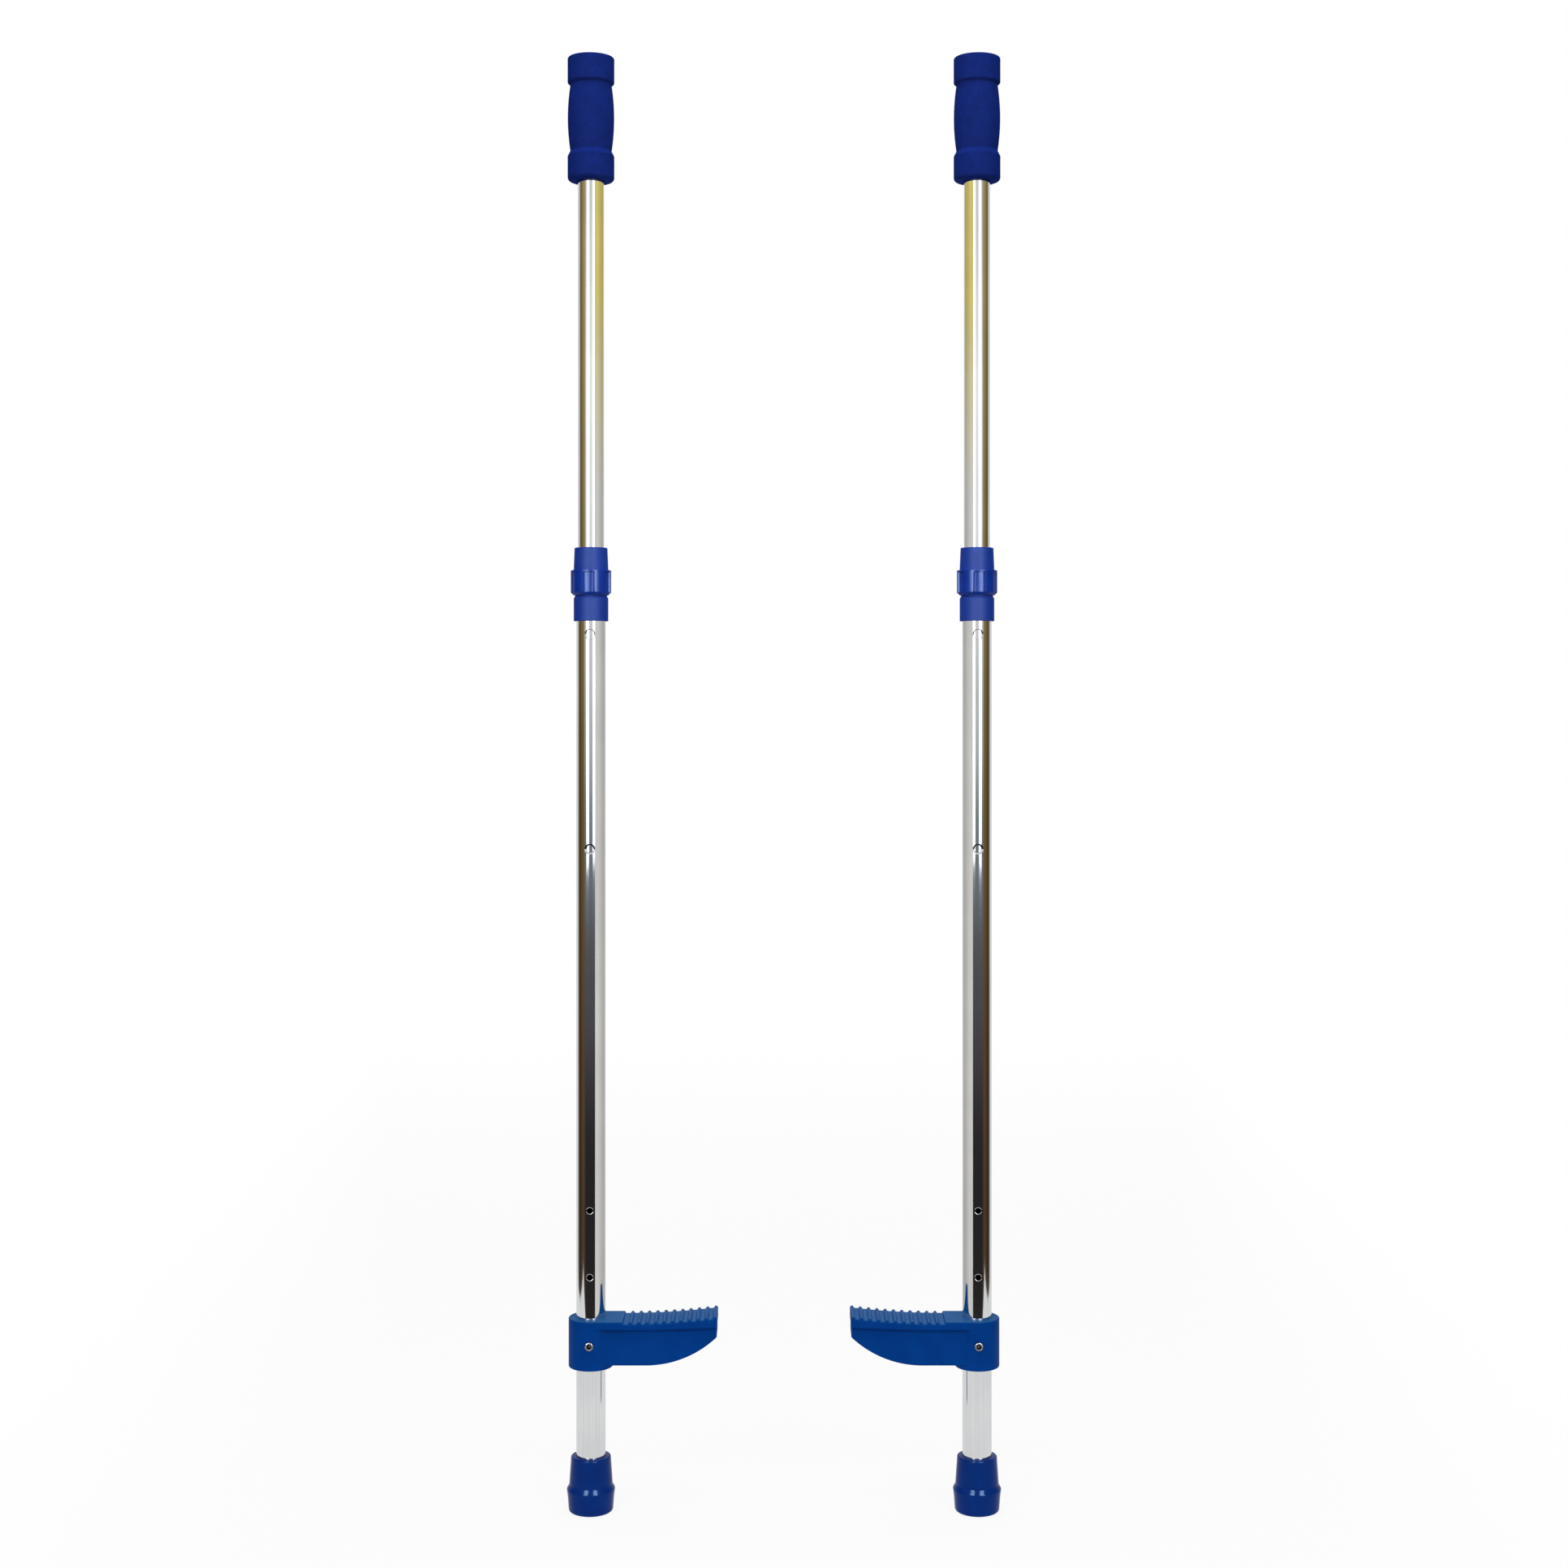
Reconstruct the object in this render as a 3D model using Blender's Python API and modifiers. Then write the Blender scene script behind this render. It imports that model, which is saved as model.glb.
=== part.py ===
"""Pair of telescopic stilts: aluminium tubes that slide in one another, a twist lock,
a moulded footrest bolted to each lower tube, a foam hand grip and a rubber foot."""

import math

import bmesh
import bpy

MM = 0.001

# Pair
STANCE = 369.0 * MM  # between the axes of the two stilts

# Clearances
SEAT_GAP = 0.3 * MM  # between pieces that sit on or in one another
SLIDE_GAP = 0.3 * MM  # around the upper tube where it slides
GUIDE_GAP = 0.2 * MM  # around the guide bush inside the lower tube
TURN_GAP = 0.4 * MM  # between the lock nut and the pieces it turns around
LOCK_GAP = 0.5 * MM  # between the lock nut's lower end and the lock body

# Tubes
LOWER_TUBE_OUTER = 28.0 * MM
LOWER_TUBE_WALL = 1.2 * MM
LOWER_TUBE_LENGTH = 856.0 * MM
UPPER_TUBE_WALL = 1.0 * MM
UPPER_TUBE_LENGTH = 790.0 * MM
EXTENSION = 350.3 * MM  # upper tube left bare between the lock and the grip
SIGHT_HOLE = 10.0 * MM
UPPER_SIGHT_DEPTH = 30.0 * MM  # sight holes, below the lower tube's top end
LOWER_SIGHT_DEPTH = 234.0 * MM

# Tube end pieces
END_SPIGOT = 14.0 * MM  # length inside the upper tube
END_WALL = 2.2 * MM
CAP_FLANGE = 2.0 * MM
BUSH_FLANGE = 5.0 * MM

# Rubber foot and the steel disc inside it
FOOT_HEIGHT = 54.0 * MM
FOOT_SOLE = 8.0 * MM
FOOT_WALL = 4.65 * MM  # at the top rim
FOOT_TAPER = 1.8 * MM  # added radius where the wall meets the ring
FOOT_RING_HEIGHT = 21.3 * MM  # of the ring's widest line
FOOT_RING_REACH = 2.3 * MM  # ring beyond the wall above it
FOOT_RING_SLOPE = 4.2 * MM  # height of the ring's upper slope
FOOT_RING_LIP = 7.8 * MM  # height of the ring's lower slope
FOOT_BASE_REACH = 0.35 * MM  # base edge beyond the wall above the ring
FOOT_EDGE = 1.4 * MM
SOLE_GROOVE_RADIUS = 10.0 * MM
SOLE_GROOVE_WIDTH = 3.0 * MM
SOLE_GROOVE_DEPTH = 1.5 * MM
DISC_THICKNESS = 2.0 * MM

# Twist lock
LOCK_OVERLAP = 17.0 * MM  # lock body over the lower tube's top end
LOCK_SLEEVE_HEIGHT = 24.0 * MM
LOCK_SLEEVE_WALL = 2.2 * MM
LOCK_CHAMFER = 2.4 * MM
LOCK_EDGE = 0.6 * MM
SPIGOT_HEIGHT = 17.0 * MM
SPIGOT_WALL = 2.4 * MM
COLLET_HEIGHT = 21.0 * MM
COLLET_BASE = 3.0 * MM
COLLET_WALL = 2.0 * MM
COLLET_TIP_WALL = 0.9 * MM
COLLET_SLOT = 1.6 * MM
COLLET_SLOT_DEPTH = 16.0 * MM
COLLET_SLOT_PAIRS = 3
NUT_RING_HEIGHT = 24.0 * MM
NUT_RING_WALL = 3.7 * MM
NUT_RING_CHAMFER = 2.8 * MM
NUT_FOOT_WALL = 0.8 * MM  # flat lower end inside the chamfer
NUT_LIP = 7.3 * MM  # nose above the collet's tip
NUT_CONE_WALL = 1.35 * MM
NUT_TIP_WALL = 1.6 * MM
NUT_FLUTES = 6
NUT_FLUTE_DEPTH = 1.3 * MM
NUT_FLUTE_RIM = 1.7 * MM  # ring left closed above each flute
NUT_LAND_SHARE = 0.5  # of each step around the ring that is land
NUT_LAND_TURN = math.radians(29.2)  # first land, round from the front

# Foam hand grip
GRIP_LENGTH = 119.4 * MM
GRIP_END = 6.0 * MM  # foam above the tube's cap
GRIP_WALL = 6.9 * MM  # at the necks
GRIP_COLLAR_RISE = 2.55 * MM
GRIP_BULGE_RISE = 2.4 * MM
GRIP_LOWER_COLLAR = 23.7 * MM
GRIP_LOWER_SLOPE = 5.0 * MM
GRIP_UPPER_COLLAR = 25.4 * MM
GRIP_UPPER_SLOPE = 2.2 * MM
GRIP_DOME = 1.5 * MM
GRIP_TOP_EDGE = 1.5 * MM
GRIP_LOWER_EDGE = 3.5 * MM

# Footrest
FOOTREST_TOP = 185.0 * MM  # flat part of the tread above the floor
COLLAR_WALL = 7.0 * MM
COLLAR_HEIGHT = 47.0 * MM
COLLAR_RISE = 0.1 * MM  # collar above the tread
COLLAR_EDGE = 1.2 * MM
TREAD_LENGTH = 99.7 * MM  # from the collar to the tip
TREAD_INSET = 0.3 * MM  # tread edges inside the collar's sides
TREAD_FLAT = 11.0 * MM  # plain tread beside the collar
TREAD_STEP = 1.9 * MM  # ribbed part below the plain part
TREAD_CURVE = 720.0 * MM  # radius of the ribbed part, rising to the tip
TREAD_SKIN = 4.0 * MM
LIP_DROP = 7.6 * MM  # tread edge, down from the plain part
LIP_CURVE = 1600.0 * MM
RIB_PITCH = 8.0 * MM
RIB_WIDTH = 4.2 * MM
RIB_HEIGHT = 2.0 * MM
RIB_PLACES = (-0.5, -0.3, -0.12, 0.12, 0.3, 0.5)  # corners across a rib, in shares of its width
ARM_HEIGHT = 42.4 * MM  # from the plain tread to the arm's lower edge
ARM_SETBACK = 4.8 * MM  # arm wall behind the tread's edge
ARM_WALL = 3.0 * MM
ARM_TIP_SETBACK = 0.4 * MM
TIP_DEPTH = 15.6 * MM  # arm's end face, down from the plain tread
BELLY_CURVE = 98.0 * MM
ARM_FILLET = 12.0 * MM  # soft corner between the collar and the arm's sides
FILLET_LIFT = 0.8 * MM  # lower end of that corner above the arm's lower edge
POCKETS = 3
POCKET_WEB = 2.4 * MM

# Footrest bolt and nut
BOLT_SHANK = 6.0 * MM
BOLT_HEAD = 9.0 * MM
BOLT_HEAD_HEIGHT = 4.0 * MM
BOLT_HEAD_EDGE = 0.9 * MM
BOLT_SOCKET = 5.0 * MM  # across flats
BOLT_SOCKET_DEPTH = 3.0 * MM
BOLT_END = 0.3 * MM  # bolt beyond its nut
BOLT_DROP = 22.8 * MM  # bolt axis below the plain tread
HEAD_RECESS = 2.2 * MM
NUT_FLATS = 10.0 * MM
NUT_HEIGHT = 5.0 * MM
NUT_RECESS = 3.5 * MM
HOLE_PITCH = 63.4 * MM  # footrest settings along the lower tube
SPARE_HOLES = 2

# Facets
ROUND_STEPS = 28
SMALL_STEPS = 12
HEX_SIDES = 6
ARC_STEPS = 3
SHARP_ANGLE = math.radians(35.0)
WELD = 1e-7
FLAT_ANGLE = math.radians(0.1)  # triangles flatter than this to each other are one face

# Radii that follow from the sizes above
LOWER_R = LOWER_TUBE_OUTER / 2
LOWER_BORE_R = LOWER_R - LOWER_TUBE_WALL
UPPER_R = LOWER_BORE_R - SLIDE_GAP
UPPER_BORE_R = UPPER_R - UPPER_TUBE_WALL
GUIDE_BORE_R = UPPER_R + SLIDE_GAP  # bores that the upper tube runs in
SEAT_BORE_R = LOWER_R + SEAT_GAP  # bores that sit over the lower tube
COLLAR_R = SEAT_BORE_R + COLLAR_WALL
SLEEVE_R = SEAT_BORE_R + LOCK_SLEEVE_WALL
SPIGOT_R = GUIDE_BORE_R + SPIGOT_WALL
COLLET_R = GUIDE_BORE_R + COLLET_WALL
COLLET_TIP_R = GUIDE_BORE_R + COLLET_TIP_WALL
NUT_BORE_R = SPIGOT_R + TURN_GAP
NUT_RING_R = NUT_BORE_R + NUT_RING_WALL
BOLT_HOLE_R = BOLT_SHANK / 2 + SEAT_GAP

# Heights that follow from the sizes above
DISC_Z = FOOT_SOLE + SEAT_GAP
LOWER_TUBE_Z = DISC_Z + DISC_THICKNESS + SEAT_GAP
LOWER_TUBE_TOP = LOWER_TUBE_Z + LOWER_TUBE_LENGTH
LOCK_BODY_Z = LOWER_TUBE_TOP - LOCK_OVERLAP
LOCK_SHOULDER = LOCK_OVERLAP + SEAT_GAP  # inside the lock body, above its lower end
COLLET_Z = LOCK_BODY_Z + LOCK_SLEEVE_HEIGHT + SPIGOT_HEIGHT + SEAT_GAP
NUT_Z = LOCK_BODY_Z + LOCK_SLEEVE_HEIGHT + LOCK_GAP
COLLET_TIP = COLLET_Z + COLLET_HEIGHT - NUT_Z  # above the nut's lower end
NUT_TOP = COLLET_TIP + TURN_GAP + NUT_LIP
GRIP_Z = NUT_Z + NUT_TOP + EXTENSION
UPPER_TUBE_TOP = GRIP_Z + GRIP_LENGTH - GRIP_END - CAP_FLANGE - 2 * SEAT_GAP
UPPER_TUBE_Z = UPPER_TUBE_TOP - UPPER_TUBE_LENGTH
BOLT_Z = FOOTREST_TOP - BOLT_DROP

# Footrest places along its arm, out from the tube's axis
TREAD_TIP = COLLAR_R + TREAD_LENGTH
TREAD_RIBS_START = COLLAR_R + TREAD_FLAT
TREAD_HALF = COLLAR_R - TREAD_INSET
ARM_HALF = COLLAR_R - ARM_SETBACK

# sRGB colours
TUBE_COLOUR = "d9dadb"
STEEL_COLOUR = "b9b6b0"
GRIP_COLOUR = "1a2870"
LOCK_COLOUR = "24418f"
FOOTREST_COLOUR = "01387e"
RUBBER_COLOUR = "0f2c6c"
BUSH_COLOUR = "1c1d20"


def clear_scene():
    for old in list(bpy.data.objects):
        bpy.data.objects.remove(old, do_unlink=True)


def new_collection(name):
    collection = bpy.data.collections.new(name)
    bpy.context.scene.collection.children.link(collection)
    return collection


def linear(hex_colour):
    channels = [int(hex_colour[i:i + 2], 16) / 255 for i in (0, 2, 4)]
    return [c / 12.92 if c <= 0.04045 else ((c + 0.055) / 1.055) ** 2.4 for c in channels]


def new_material(name, hex_colour, roughness, metallic=0.0):
    material = bpy.data.materials.new(name)
    material.use_nodes = True
    shader = material.node_tree.nodes["Principled BSDF"]
    shader.inputs["Base Color"].default_value = (*linear(hex_colour), 1.0)
    shader.inputs["Roughness"].default_value = roughness
    shader.inputs["Metallic"].default_value = metallic
    material.diffuse_color = (*linear(hex_colour), 1.0)
    return material


def evaluated_mesh(source, name):
    """Mesh of an object as its modifiers or its curve settings make it, with its seams welded."""
    bpy.context.view_layer.update()
    depsgraph = bpy.context.evaluated_depsgraph_get()
    mesh = bpy.data.meshes.new_from_object(source.evaluated_get(depsgraph))
    mesh.name = name
    bpy.data.objects.remove(source, do_unlink=True)
    work = bmesh.new()
    work.from_mesh(mesh)
    bmesh.ops.remove_doubles(work, verts=work.verts, dist=WELD)
    bmesh.ops.dissolve_limit(work, angle_limit=FLAT_ANGLE, verts=work.verts, edges=work.edges)
    work.to_mesh(mesh)
    work.free()
    return mesh


def smooth(mesh):
    mesh.shade_smooth()
    mesh.set_sharp_from_angle(angle=SHARP_ANGLE)
    return mesh


def arc(centre, radius, start, end, steps=ARC_STEPS):
    """Points on an arc, with both ends; angles in degrees."""
    points = []
    for i in range(steps + 1):
        angle = math.radians(start + (end - start) * i / steps)
        points.append((centre[0] + radius * math.cos(angle), centre[1] + radius * math.sin(angle)))
    return points


def turned(name, profile, steps=ROUND_STEPS):
    """Solid turned about Z. The profile holds (radius, height) points, down its outer side first;
    it runs from axis to axis, or around a ring's section. Flats of the round face along X and Y."""
    mesh = bpy.data.meshes.new(name)
    edges = [(i, i + 1) for i in range(len(profile) - 1)]
    if profile[0][0] > 0:
        edges.append((len(profile) - 1, 0))
    half_step = math.pi / steps
    out = (math.cos(half_step), math.sin(half_step))
    mesh.from_pydata([(out[0] * r, out[1] * r, height) for r, height in profile], edges, [])
    source = bpy.data.objects.new(name, mesh)
    bpy.context.scene.collection.objects.link(source)
    screw = source.modifiers.new("Turn", "SCREW")
    screw.axis = "Z"
    screw.angle = 2 * math.pi
    screw.steps = steps
    screw.render_steps = steps
    screw.use_merge_vertices = True
    screw.merge_threshold = WELD
    return smooth(evaluated_mesh(source, name))


def prism(name, outline, half_depth):
    """Flat outline in X and Y, given a depth of half_depth to each side along Z."""
    curve = bpy.data.curves.new(name, "CURVE")
    curve.dimensions = "2D"
    curve.fill_mode = "BOTH"
    curve.extrude = half_depth
    spline = curve.splines.new("POLY")
    spline.points.add(len(outline) - 1)
    for point, (x, y) in zip(spline.points, outline):
        point.co = (x, y, 0.0, 1.0)
    spline.use_cyclic_u = True
    source = bpy.data.objects.new(name, curve)
    bpy.context.scene.collection.objects.link(source)
    return smooth(evaluated_mesh(source, name))


def rod(name, radius, length, steps=SMALL_STEPS):
    """Cylinder, or a hexagonal bar with six steps, centred on its own axis Z."""
    mesh = bpy.data.meshes.new(name)
    work = bmesh.new()
    bmesh.ops.create_cone(
        work, cap_ends=True, segments=steps, radius1=radius, radius2=radius, depth=length
    )
    work.to_mesh(mesh)
    work.free()
    return smooth(mesh)


def box(name, size):
    mesh = bpy.data.meshes.new(name)
    work = bmesh.new()
    bmesh.ops.create_cube(work, size=1.0)
    bmesh.ops.scale(work, vec=size, verts=work.verts)
    work.to_mesh(mesh)
    work.free()
    return mesh


# Turns that lay a mesh's Z, or its outline's plane, along the object's axes
UPRIGHT = (0.0, 0.0, 0.0)
ALONG_Y = (math.pi / 2, 0.0, 0.0)  # local Z to -Y, local Y to +Z


class Stilt:
    """One stilt: its empties, its pieces and the cutters that shape them."""

    def __init__(self, side, facing, parts, cutters, materials):
        self.side = side
        self.facing = facing  # +1 or -1: the way that the footrest points along X
        self.parts = parts
        self.cutters = cutters
        self.materials = materials
        self.base = self.empty("stilt", None, 0.0)
        self.base.location.x = -facing * STANCE / 2
        self.lock = self.empty("lock", self.base, NUT_Z)
        self.slider = self.empty("slider", self.base, UPPER_TUBE_Z)

    def empty(self, name, parent, height):
        anchor = bpy.data.objects.new(f"{self.side}_{name}", None)
        anchor.parent = parent
        anchor.location.z = height
        self.parts.objects.link(anchor)
        return anchor

    def place(self, name, mesh, material, parent, location=(0.0, 0.0, 0.0), rotation=UPRIGHT):
        piece = bpy.data.objects.new(f"{self.side}_{name}", mesh)
        piece.parent = parent
        piece.location = location
        piece.rotation_euler = rotation
        piece.data.materials.clear()
        piece.data.materials.append(self.materials[material])
        self.parts.objects.link(piece)
        return piece

    def combine(self, piece, mesh, operation, location=(0.0, 0.0, 0.0), rotation=UPRIGHT, parent=None):
        """Cut a mesh out of a piece, or join it on; the place is in the frame of the parent."""
        tool = bpy.data.objects.new(f"{self.side}_{mesh.name}", mesh)
        tool.parent = parent or self.base
        tool.location = location
        tool.rotation_euler = rotation
        tool.hide_render = True
        tool.display_type = "WIRE"
        self.cutters.objects.link(tool)
        step = piece.modifiers.new(mesh.name, "BOOLEAN")
        step.operation = operation
        step.solver = "EXACT"
        step.object = tool


def foot(stilt):
    """Rubber foot: a blind socket with a ring around it, a tapered wall and a grooved sole."""
    rim_r = SEAT_BORE_R + FOOT_WALL
    wall_r = rim_r + FOOT_TAPER
    ring_r = wall_r + FOOT_RING_REACH
    base_r = wall_r + FOOT_BASE_REACH
    rim_edge = FOOT_WALL / 3
    groove_in = SOLE_GROOVE_RADIUS - SOLE_GROOVE_WIDTH / 2
    groove_out = SOLE_GROOVE_RADIUS + SOLE_GROOVE_WIDTH / 2
    under_ring_r = (ring_r + base_r) / 2
    profile = [
        (0.0, FOOT_SOLE),
        (SEAT_BORE_R, FOOT_SOLE),
        (SEAT_BORE_R, FOOT_HEIGHT - rim_edge),
        (SEAT_BORE_R + rim_edge, FOOT_HEIGHT),
    ]
    profile += arc((rim_r - rim_edge, FOOT_HEIGHT - rim_edge), rim_edge, 90, 0)
    profile += [
        (wall_r, FOOT_RING_HEIGHT + FOOT_RING_SLOPE),
        (ring_r, FOOT_RING_HEIGHT),
        (under_ring_r, FOOT_RING_HEIGHT - FOOT_RING_LIP),
    ]
    profile += arc((base_r - FOOT_EDGE, FOOT_EDGE), FOOT_EDGE, 0, -90)
    profile += [
        (groove_out, 0.0),
        (groove_out, SOLE_GROOVE_DEPTH),
        (groove_in, SOLE_GROOVE_DEPTH),
        (groove_in, 0.0),
        (0.0, 0.0),
    ]
    stilt.place("rubber_foot", turned("rubber_foot", profile), "rubber", stilt.base)


def foot_disc(stilt):
    """Steel disc that keeps the tube from cutting through the sole."""
    mesh = rod("foot_disc", LOWER_R, DISC_THICKNESS, ROUND_STEPS)
    stilt.place("foot_disc", mesh, "steel", stilt.base, (0.0, 0.0, DISC_Z + DISC_THICKNESS / 2))


def lower_tube(stilt):
    """Lower tube with the footrest's bolt holes through it and two sight holes in its front."""
    profile = [
        (LOWER_R, LOWER_TUBE_LENGTH),
        (LOWER_R, 0.0),
        (LOWER_BORE_R, 0.0),
        (LOWER_BORE_R, LOWER_TUBE_LENGTH),
    ]
    tube = stilt.place(
        "lower_tube", turned("lower_tube", profile), "tube", stilt.base, (0.0, 0.0, LOWER_TUBE_Z)
    )
    for setting in range(SPARE_HOLES + 1):
        drill = rod(f"bolt_hole_{setting}", BOLT_HOLE_R, 2 * LOWER_TUBE_OUTER)
        height = BOLT_Z + setting * HOLE_PITCH
        stilt.combine(tube, drill, "DIFFERENCE", (0.0, 0.0, height), ALONG_Y)
    for depth in (UPPER_SIGHT_DEPTH, LOWER_SIGHT_DEPTH):
        drill = rod("sight_hole", SIGHT_HOLE / 2, LOWER_TUBE_OUTER)
        place = (0.0, -LOWER_TUBE_OUTER / 2, LOWER_TUBE_TOP - depth)
        stilt.combine(tube, drill, "DIFFERENCE", place, ALONG_Y)


def upper_tube(stilt):
    profile = [
        (UPPER_R, UPPER_TUBE_LENGTH),
        (UPPER_R, 0.0),
        (UPPER_BORE_R, 0.0),
        (UPPER_BORE_R, UPPER_TUBE_LENGTH),
    ]
    stilt.place("upper_tube", turned("upper_tube", profile), "tube", stilt.slider)


def end_piece_profile(flange_r, flange):
    """Hollow plug for a tube's end: a flange outside it and a spigot that hangs down inside it."""
    spigot_r = UPPER_BORE_R - SEAT_GAP
    hollow_r = spigot_r - END_WALL
    return [
        (flange_r, flange),
        (flange_r, 0.0),
        (spigot_r, 0.0),
        (spigot_r, -END_SPIGOT - SEAT_GAP),
        (hollow_r, -END_SPIGOT - SEAT_GAP),
    ], hollow_r


def tube_cap(stilt):
    """Closed plug in the upper tube's top end, under the foam."""
    profile, hollow_r = end_piece_profile(UPPER_R, CAP_FLANGE)
    profile = [(0.0, CAP_FLANGE)] + profile + [(hollow_r, 0.0), (0.0, 0.0)]
    place = (0.0, 0.0, UPPER_TUBE_LENGTH + SEAT_GAP)
    stilt.place("tube_cap", turned("tube_cap", profile), "bush", stilt.slider, place)


def guide_bush(stilt):
    """Open plug in the upper tube's lower end, which keeps the tubes in line."""
    flange_r = LOWER_BORE_R - GUIDE_GAP
    profile, hollow_r = end_piece_profile(flange_r, BUSH_FLANGE)
    profile = profile + [(hollow_r, BUSH_FLANGE)]
    mesh = turned("guide_bush", profile)
    place = (0.0, 0.0, -SEAT_GAP)
    upside_down = (math.pi, 0.0, 0.0)
    stilt.place("guide_bush", mesh, "bush", stilt.slider, place, upside_down)


def lock_body(stilt):
    """Sleeve on the lower tube's end, with the spigot that the lock nut screws on."""
    top = LOCK_SLEEVE_HEIGHT + SPIGOT_HEIGHT
    profile = [
        (SPIGOT_R, top),
        (SPIGOT_R, LOCK_SLEEVE_HEIGHT),
        (SLEEVE_R, LOCK_SLEEVE_HEIGHT - LOCK_CHAMFER),
    ]
    profile += arc((SLEEVE_R - LOCK_EDGE, LOCK_EDGE), LOCK_EDGE, 0, -90)
    profile += [
        (SEAT_BORE_R, 0.0),
        (SEAT_BORE_R, LOCK_SHOULDER),
        (GUIDE_BORE_R, LOCK_SHOULDER),
        (GUIDE_BORE_R, top),
    ]
    stilt.place("lock_body", turned("lock_body", profile), "lock", stilt.base, (0.0, 0.0, LOCK_BODY_Z))


def lock_collet(stilt):
    """Slotted cone that the lock nut squeezes on to the upper tube."""
    profile = [
        (COLLET_TIP_R, COLLET_HEIGHT),
        (COLLET_R, COLLET_BASE),
        (COLLET_R, 0.0),
        (GUIDE_BORE_R, 0.0),
        (GUIDE_BORE_R, COLLET_HEIGHT),
    ]
    place = (0.0, 0.0, COLLET_Z - NUT_Z)
    collet = stilt.place("lock_collet", turned("lock_collet", profile), "bush", stilt.lock, place)
    height = COLLET_Z + COLLET_HEIGHT
    for pair in range(COLLET_SLOT_PAIRS):
        saw = box(f"collet_slot_{pair}", (3 * COLLET_R, COLLET_SLOT, 2 * COLLET_SLOT_DEPTH))
        turn = (0.0, 0.0, math.pi * (pair + 0.5) / COLLET_SLOT_PAIRS)
        stilt.combine(collet, saw, "DIFFERENCE", (0.0, 0.0, height), turn)


def lock_nut(stilt):
    """Lock nut: a fluted ring for the hand, with a tapered nose that closes on the collet."""
    taper_z = COLLET_Z + COLLET_BASE - NUT_Z
    lip_z = COLLET_TIP + TURN_GAP
    nose_r = COLLET_R + TURN_GAP + NUT_CONE_WALL
    nose_tip_r = COLLET_TIP_R + TURN_GAP + NUT_TIP_WALL
    profile = [
        (nose_tip_r, NUT_TOP),
        (nose_r, NUT_RING_HEIGHT),
        (NUT_RING_R, NUT_RING_HEIGHT),
        (NUT_RING_R, NUT_RING_CHAMFER),
        (NUT_BORE_R + NUT_FOOT_WALL, 0.0),
        (NUT_BORE_R, 0.0),
        (NUT_BORE_R, taper_z),
        (COLLET_R + TURN_GAP, taper_z),
        (COLLET_TIP_R + TURN_GAP, lip_z),
        (GUIDE_BORE_R, lip_z),
        (GUIDE_BORE_R, NUT_TOP),
    ]
    nut = stilt.place("lock_nut", turned("lock_nut", profile), "lock", stilt.lock)
    step = 360.0 / NUT_FLUTES
    half_flute = step * (1 - NUT_LAND_SHARE) / 2
    floor_r = NUT_RING_R - NUT_FLUTE_DEPTH
    outline = arc((0.0, 0.0), floor_r, -half_flute, half_flute)
    outline += arc((0.0, 0.0), 2 * NUT_RING_R, half_flute, -half_flute)
    top = NUT_Z + NUT_RING_HEIGHT - NUT_FLUTE_RIM
    for flute in range(NUT_FLUTES):
        cutter = prism(f"nut_flute_{flute}", outline, NUT_RING_HEIGHT)
        first_flute = -math.pi / 2 + stilt.facing * (NUT_LAND_TURN - math.radians(step / 2))
        turn = (0.0, 0.0, first_flute + math.radians(step) * flute)
        stilt.combine(nut, cutter, "DIFFERENCE", (0.0, 0.0, top - NUT_RING_HEIGHT), turn)


def hand_grip(stilt):
    """Foam grip with a closed domed end: two collars, and a soft bulge between their necks."""
    bore_r = UPPER_R + SEAT_GAP
    neck_r = bore_r + GRIP_WALL
    collar_r = neck_r + GRIP_COLLAR_RISE
    upper_neck = GRIP_LENGTH - GRIP_UPPER_COLLAR - GRIP_UPPER_SLOPE
    lower_neck = GRIP_LOWER_COLLAR + GRIP_LOWER_SLOPE
    half_chord = (upper_neck - lower_neck) / 2
    bulge_curve = (half_chord ** 2 + GRIP_BULGE_RISE ** 2) / (2 * GRIP_BULGE_RISE)
    bulge_centre = (neck_r + GRIP_BULGE_RISE - bulge_curve, lower_neck + half_chord)
    bulge_swing = math.degrees(math.asin(half_chord / bulge_curve))
    dome_r = collar_r - GRIP_TOP_EDGE
    dome_curve = (dome_r ** 2 + GRIP_DOME ** 2) / (2 * GRIP_DOME)
    dome_swing = math.degrees(math.asin(dome_r / dome_curve))
    shoulder = GRIP_LENGTH - GRIP_DOME
    bore_top = GRIP_LENGTH - GRIP_END
    profile = arc((0.0, GRIP_LENGTH - dome_curve), dome_curve, 90, 90 - dome_swing)
    profile[0] = (0.0, GRIP_LENGTH)
    profile += arc((dome_r, shoulder - GRIP_TOP_EDGE), GRIP_TOP_EDGE, 90 - dome_swing, 0)[1:]
    profile += [(collar_r, upper_neck + GRIP_UPPER_SLOPE)]
    profile += arc(bulge_centre, bulge_curve, bulge_swing, -bulge_swing, 2 * ARC_STEPS)
    profile += [(collar_r, GRIP_LOWER_COLLAR)]
    profile += arc((collar_r - GRIP_LOWER_EDGE, GRIP_LOWER_EDGE), GRIP_LOWER_EDGE, 0, -90)
    profile += [(bore_r, 0.0), (bore_r, bore_top), (0.0, bore_top)]
    place = (0.0, 0.0, GRIP_Z - UPPER_TUBE_Z)
    stilt.place("hand_grip", turned("hand_grip", profile), "grip", stilt.slider, place)


def rise(along, radius):
    """Height that a curve tangent to the plain tread has gained at a place along the arm."""
    return max(0.0, along - TREAD_RIBS_START) ** 2 / (2 * radius)


def tread_height(along):
    return FOOTREST_TOP - TREAD_STEP + rise(along, TREAD_CURVE)


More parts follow.
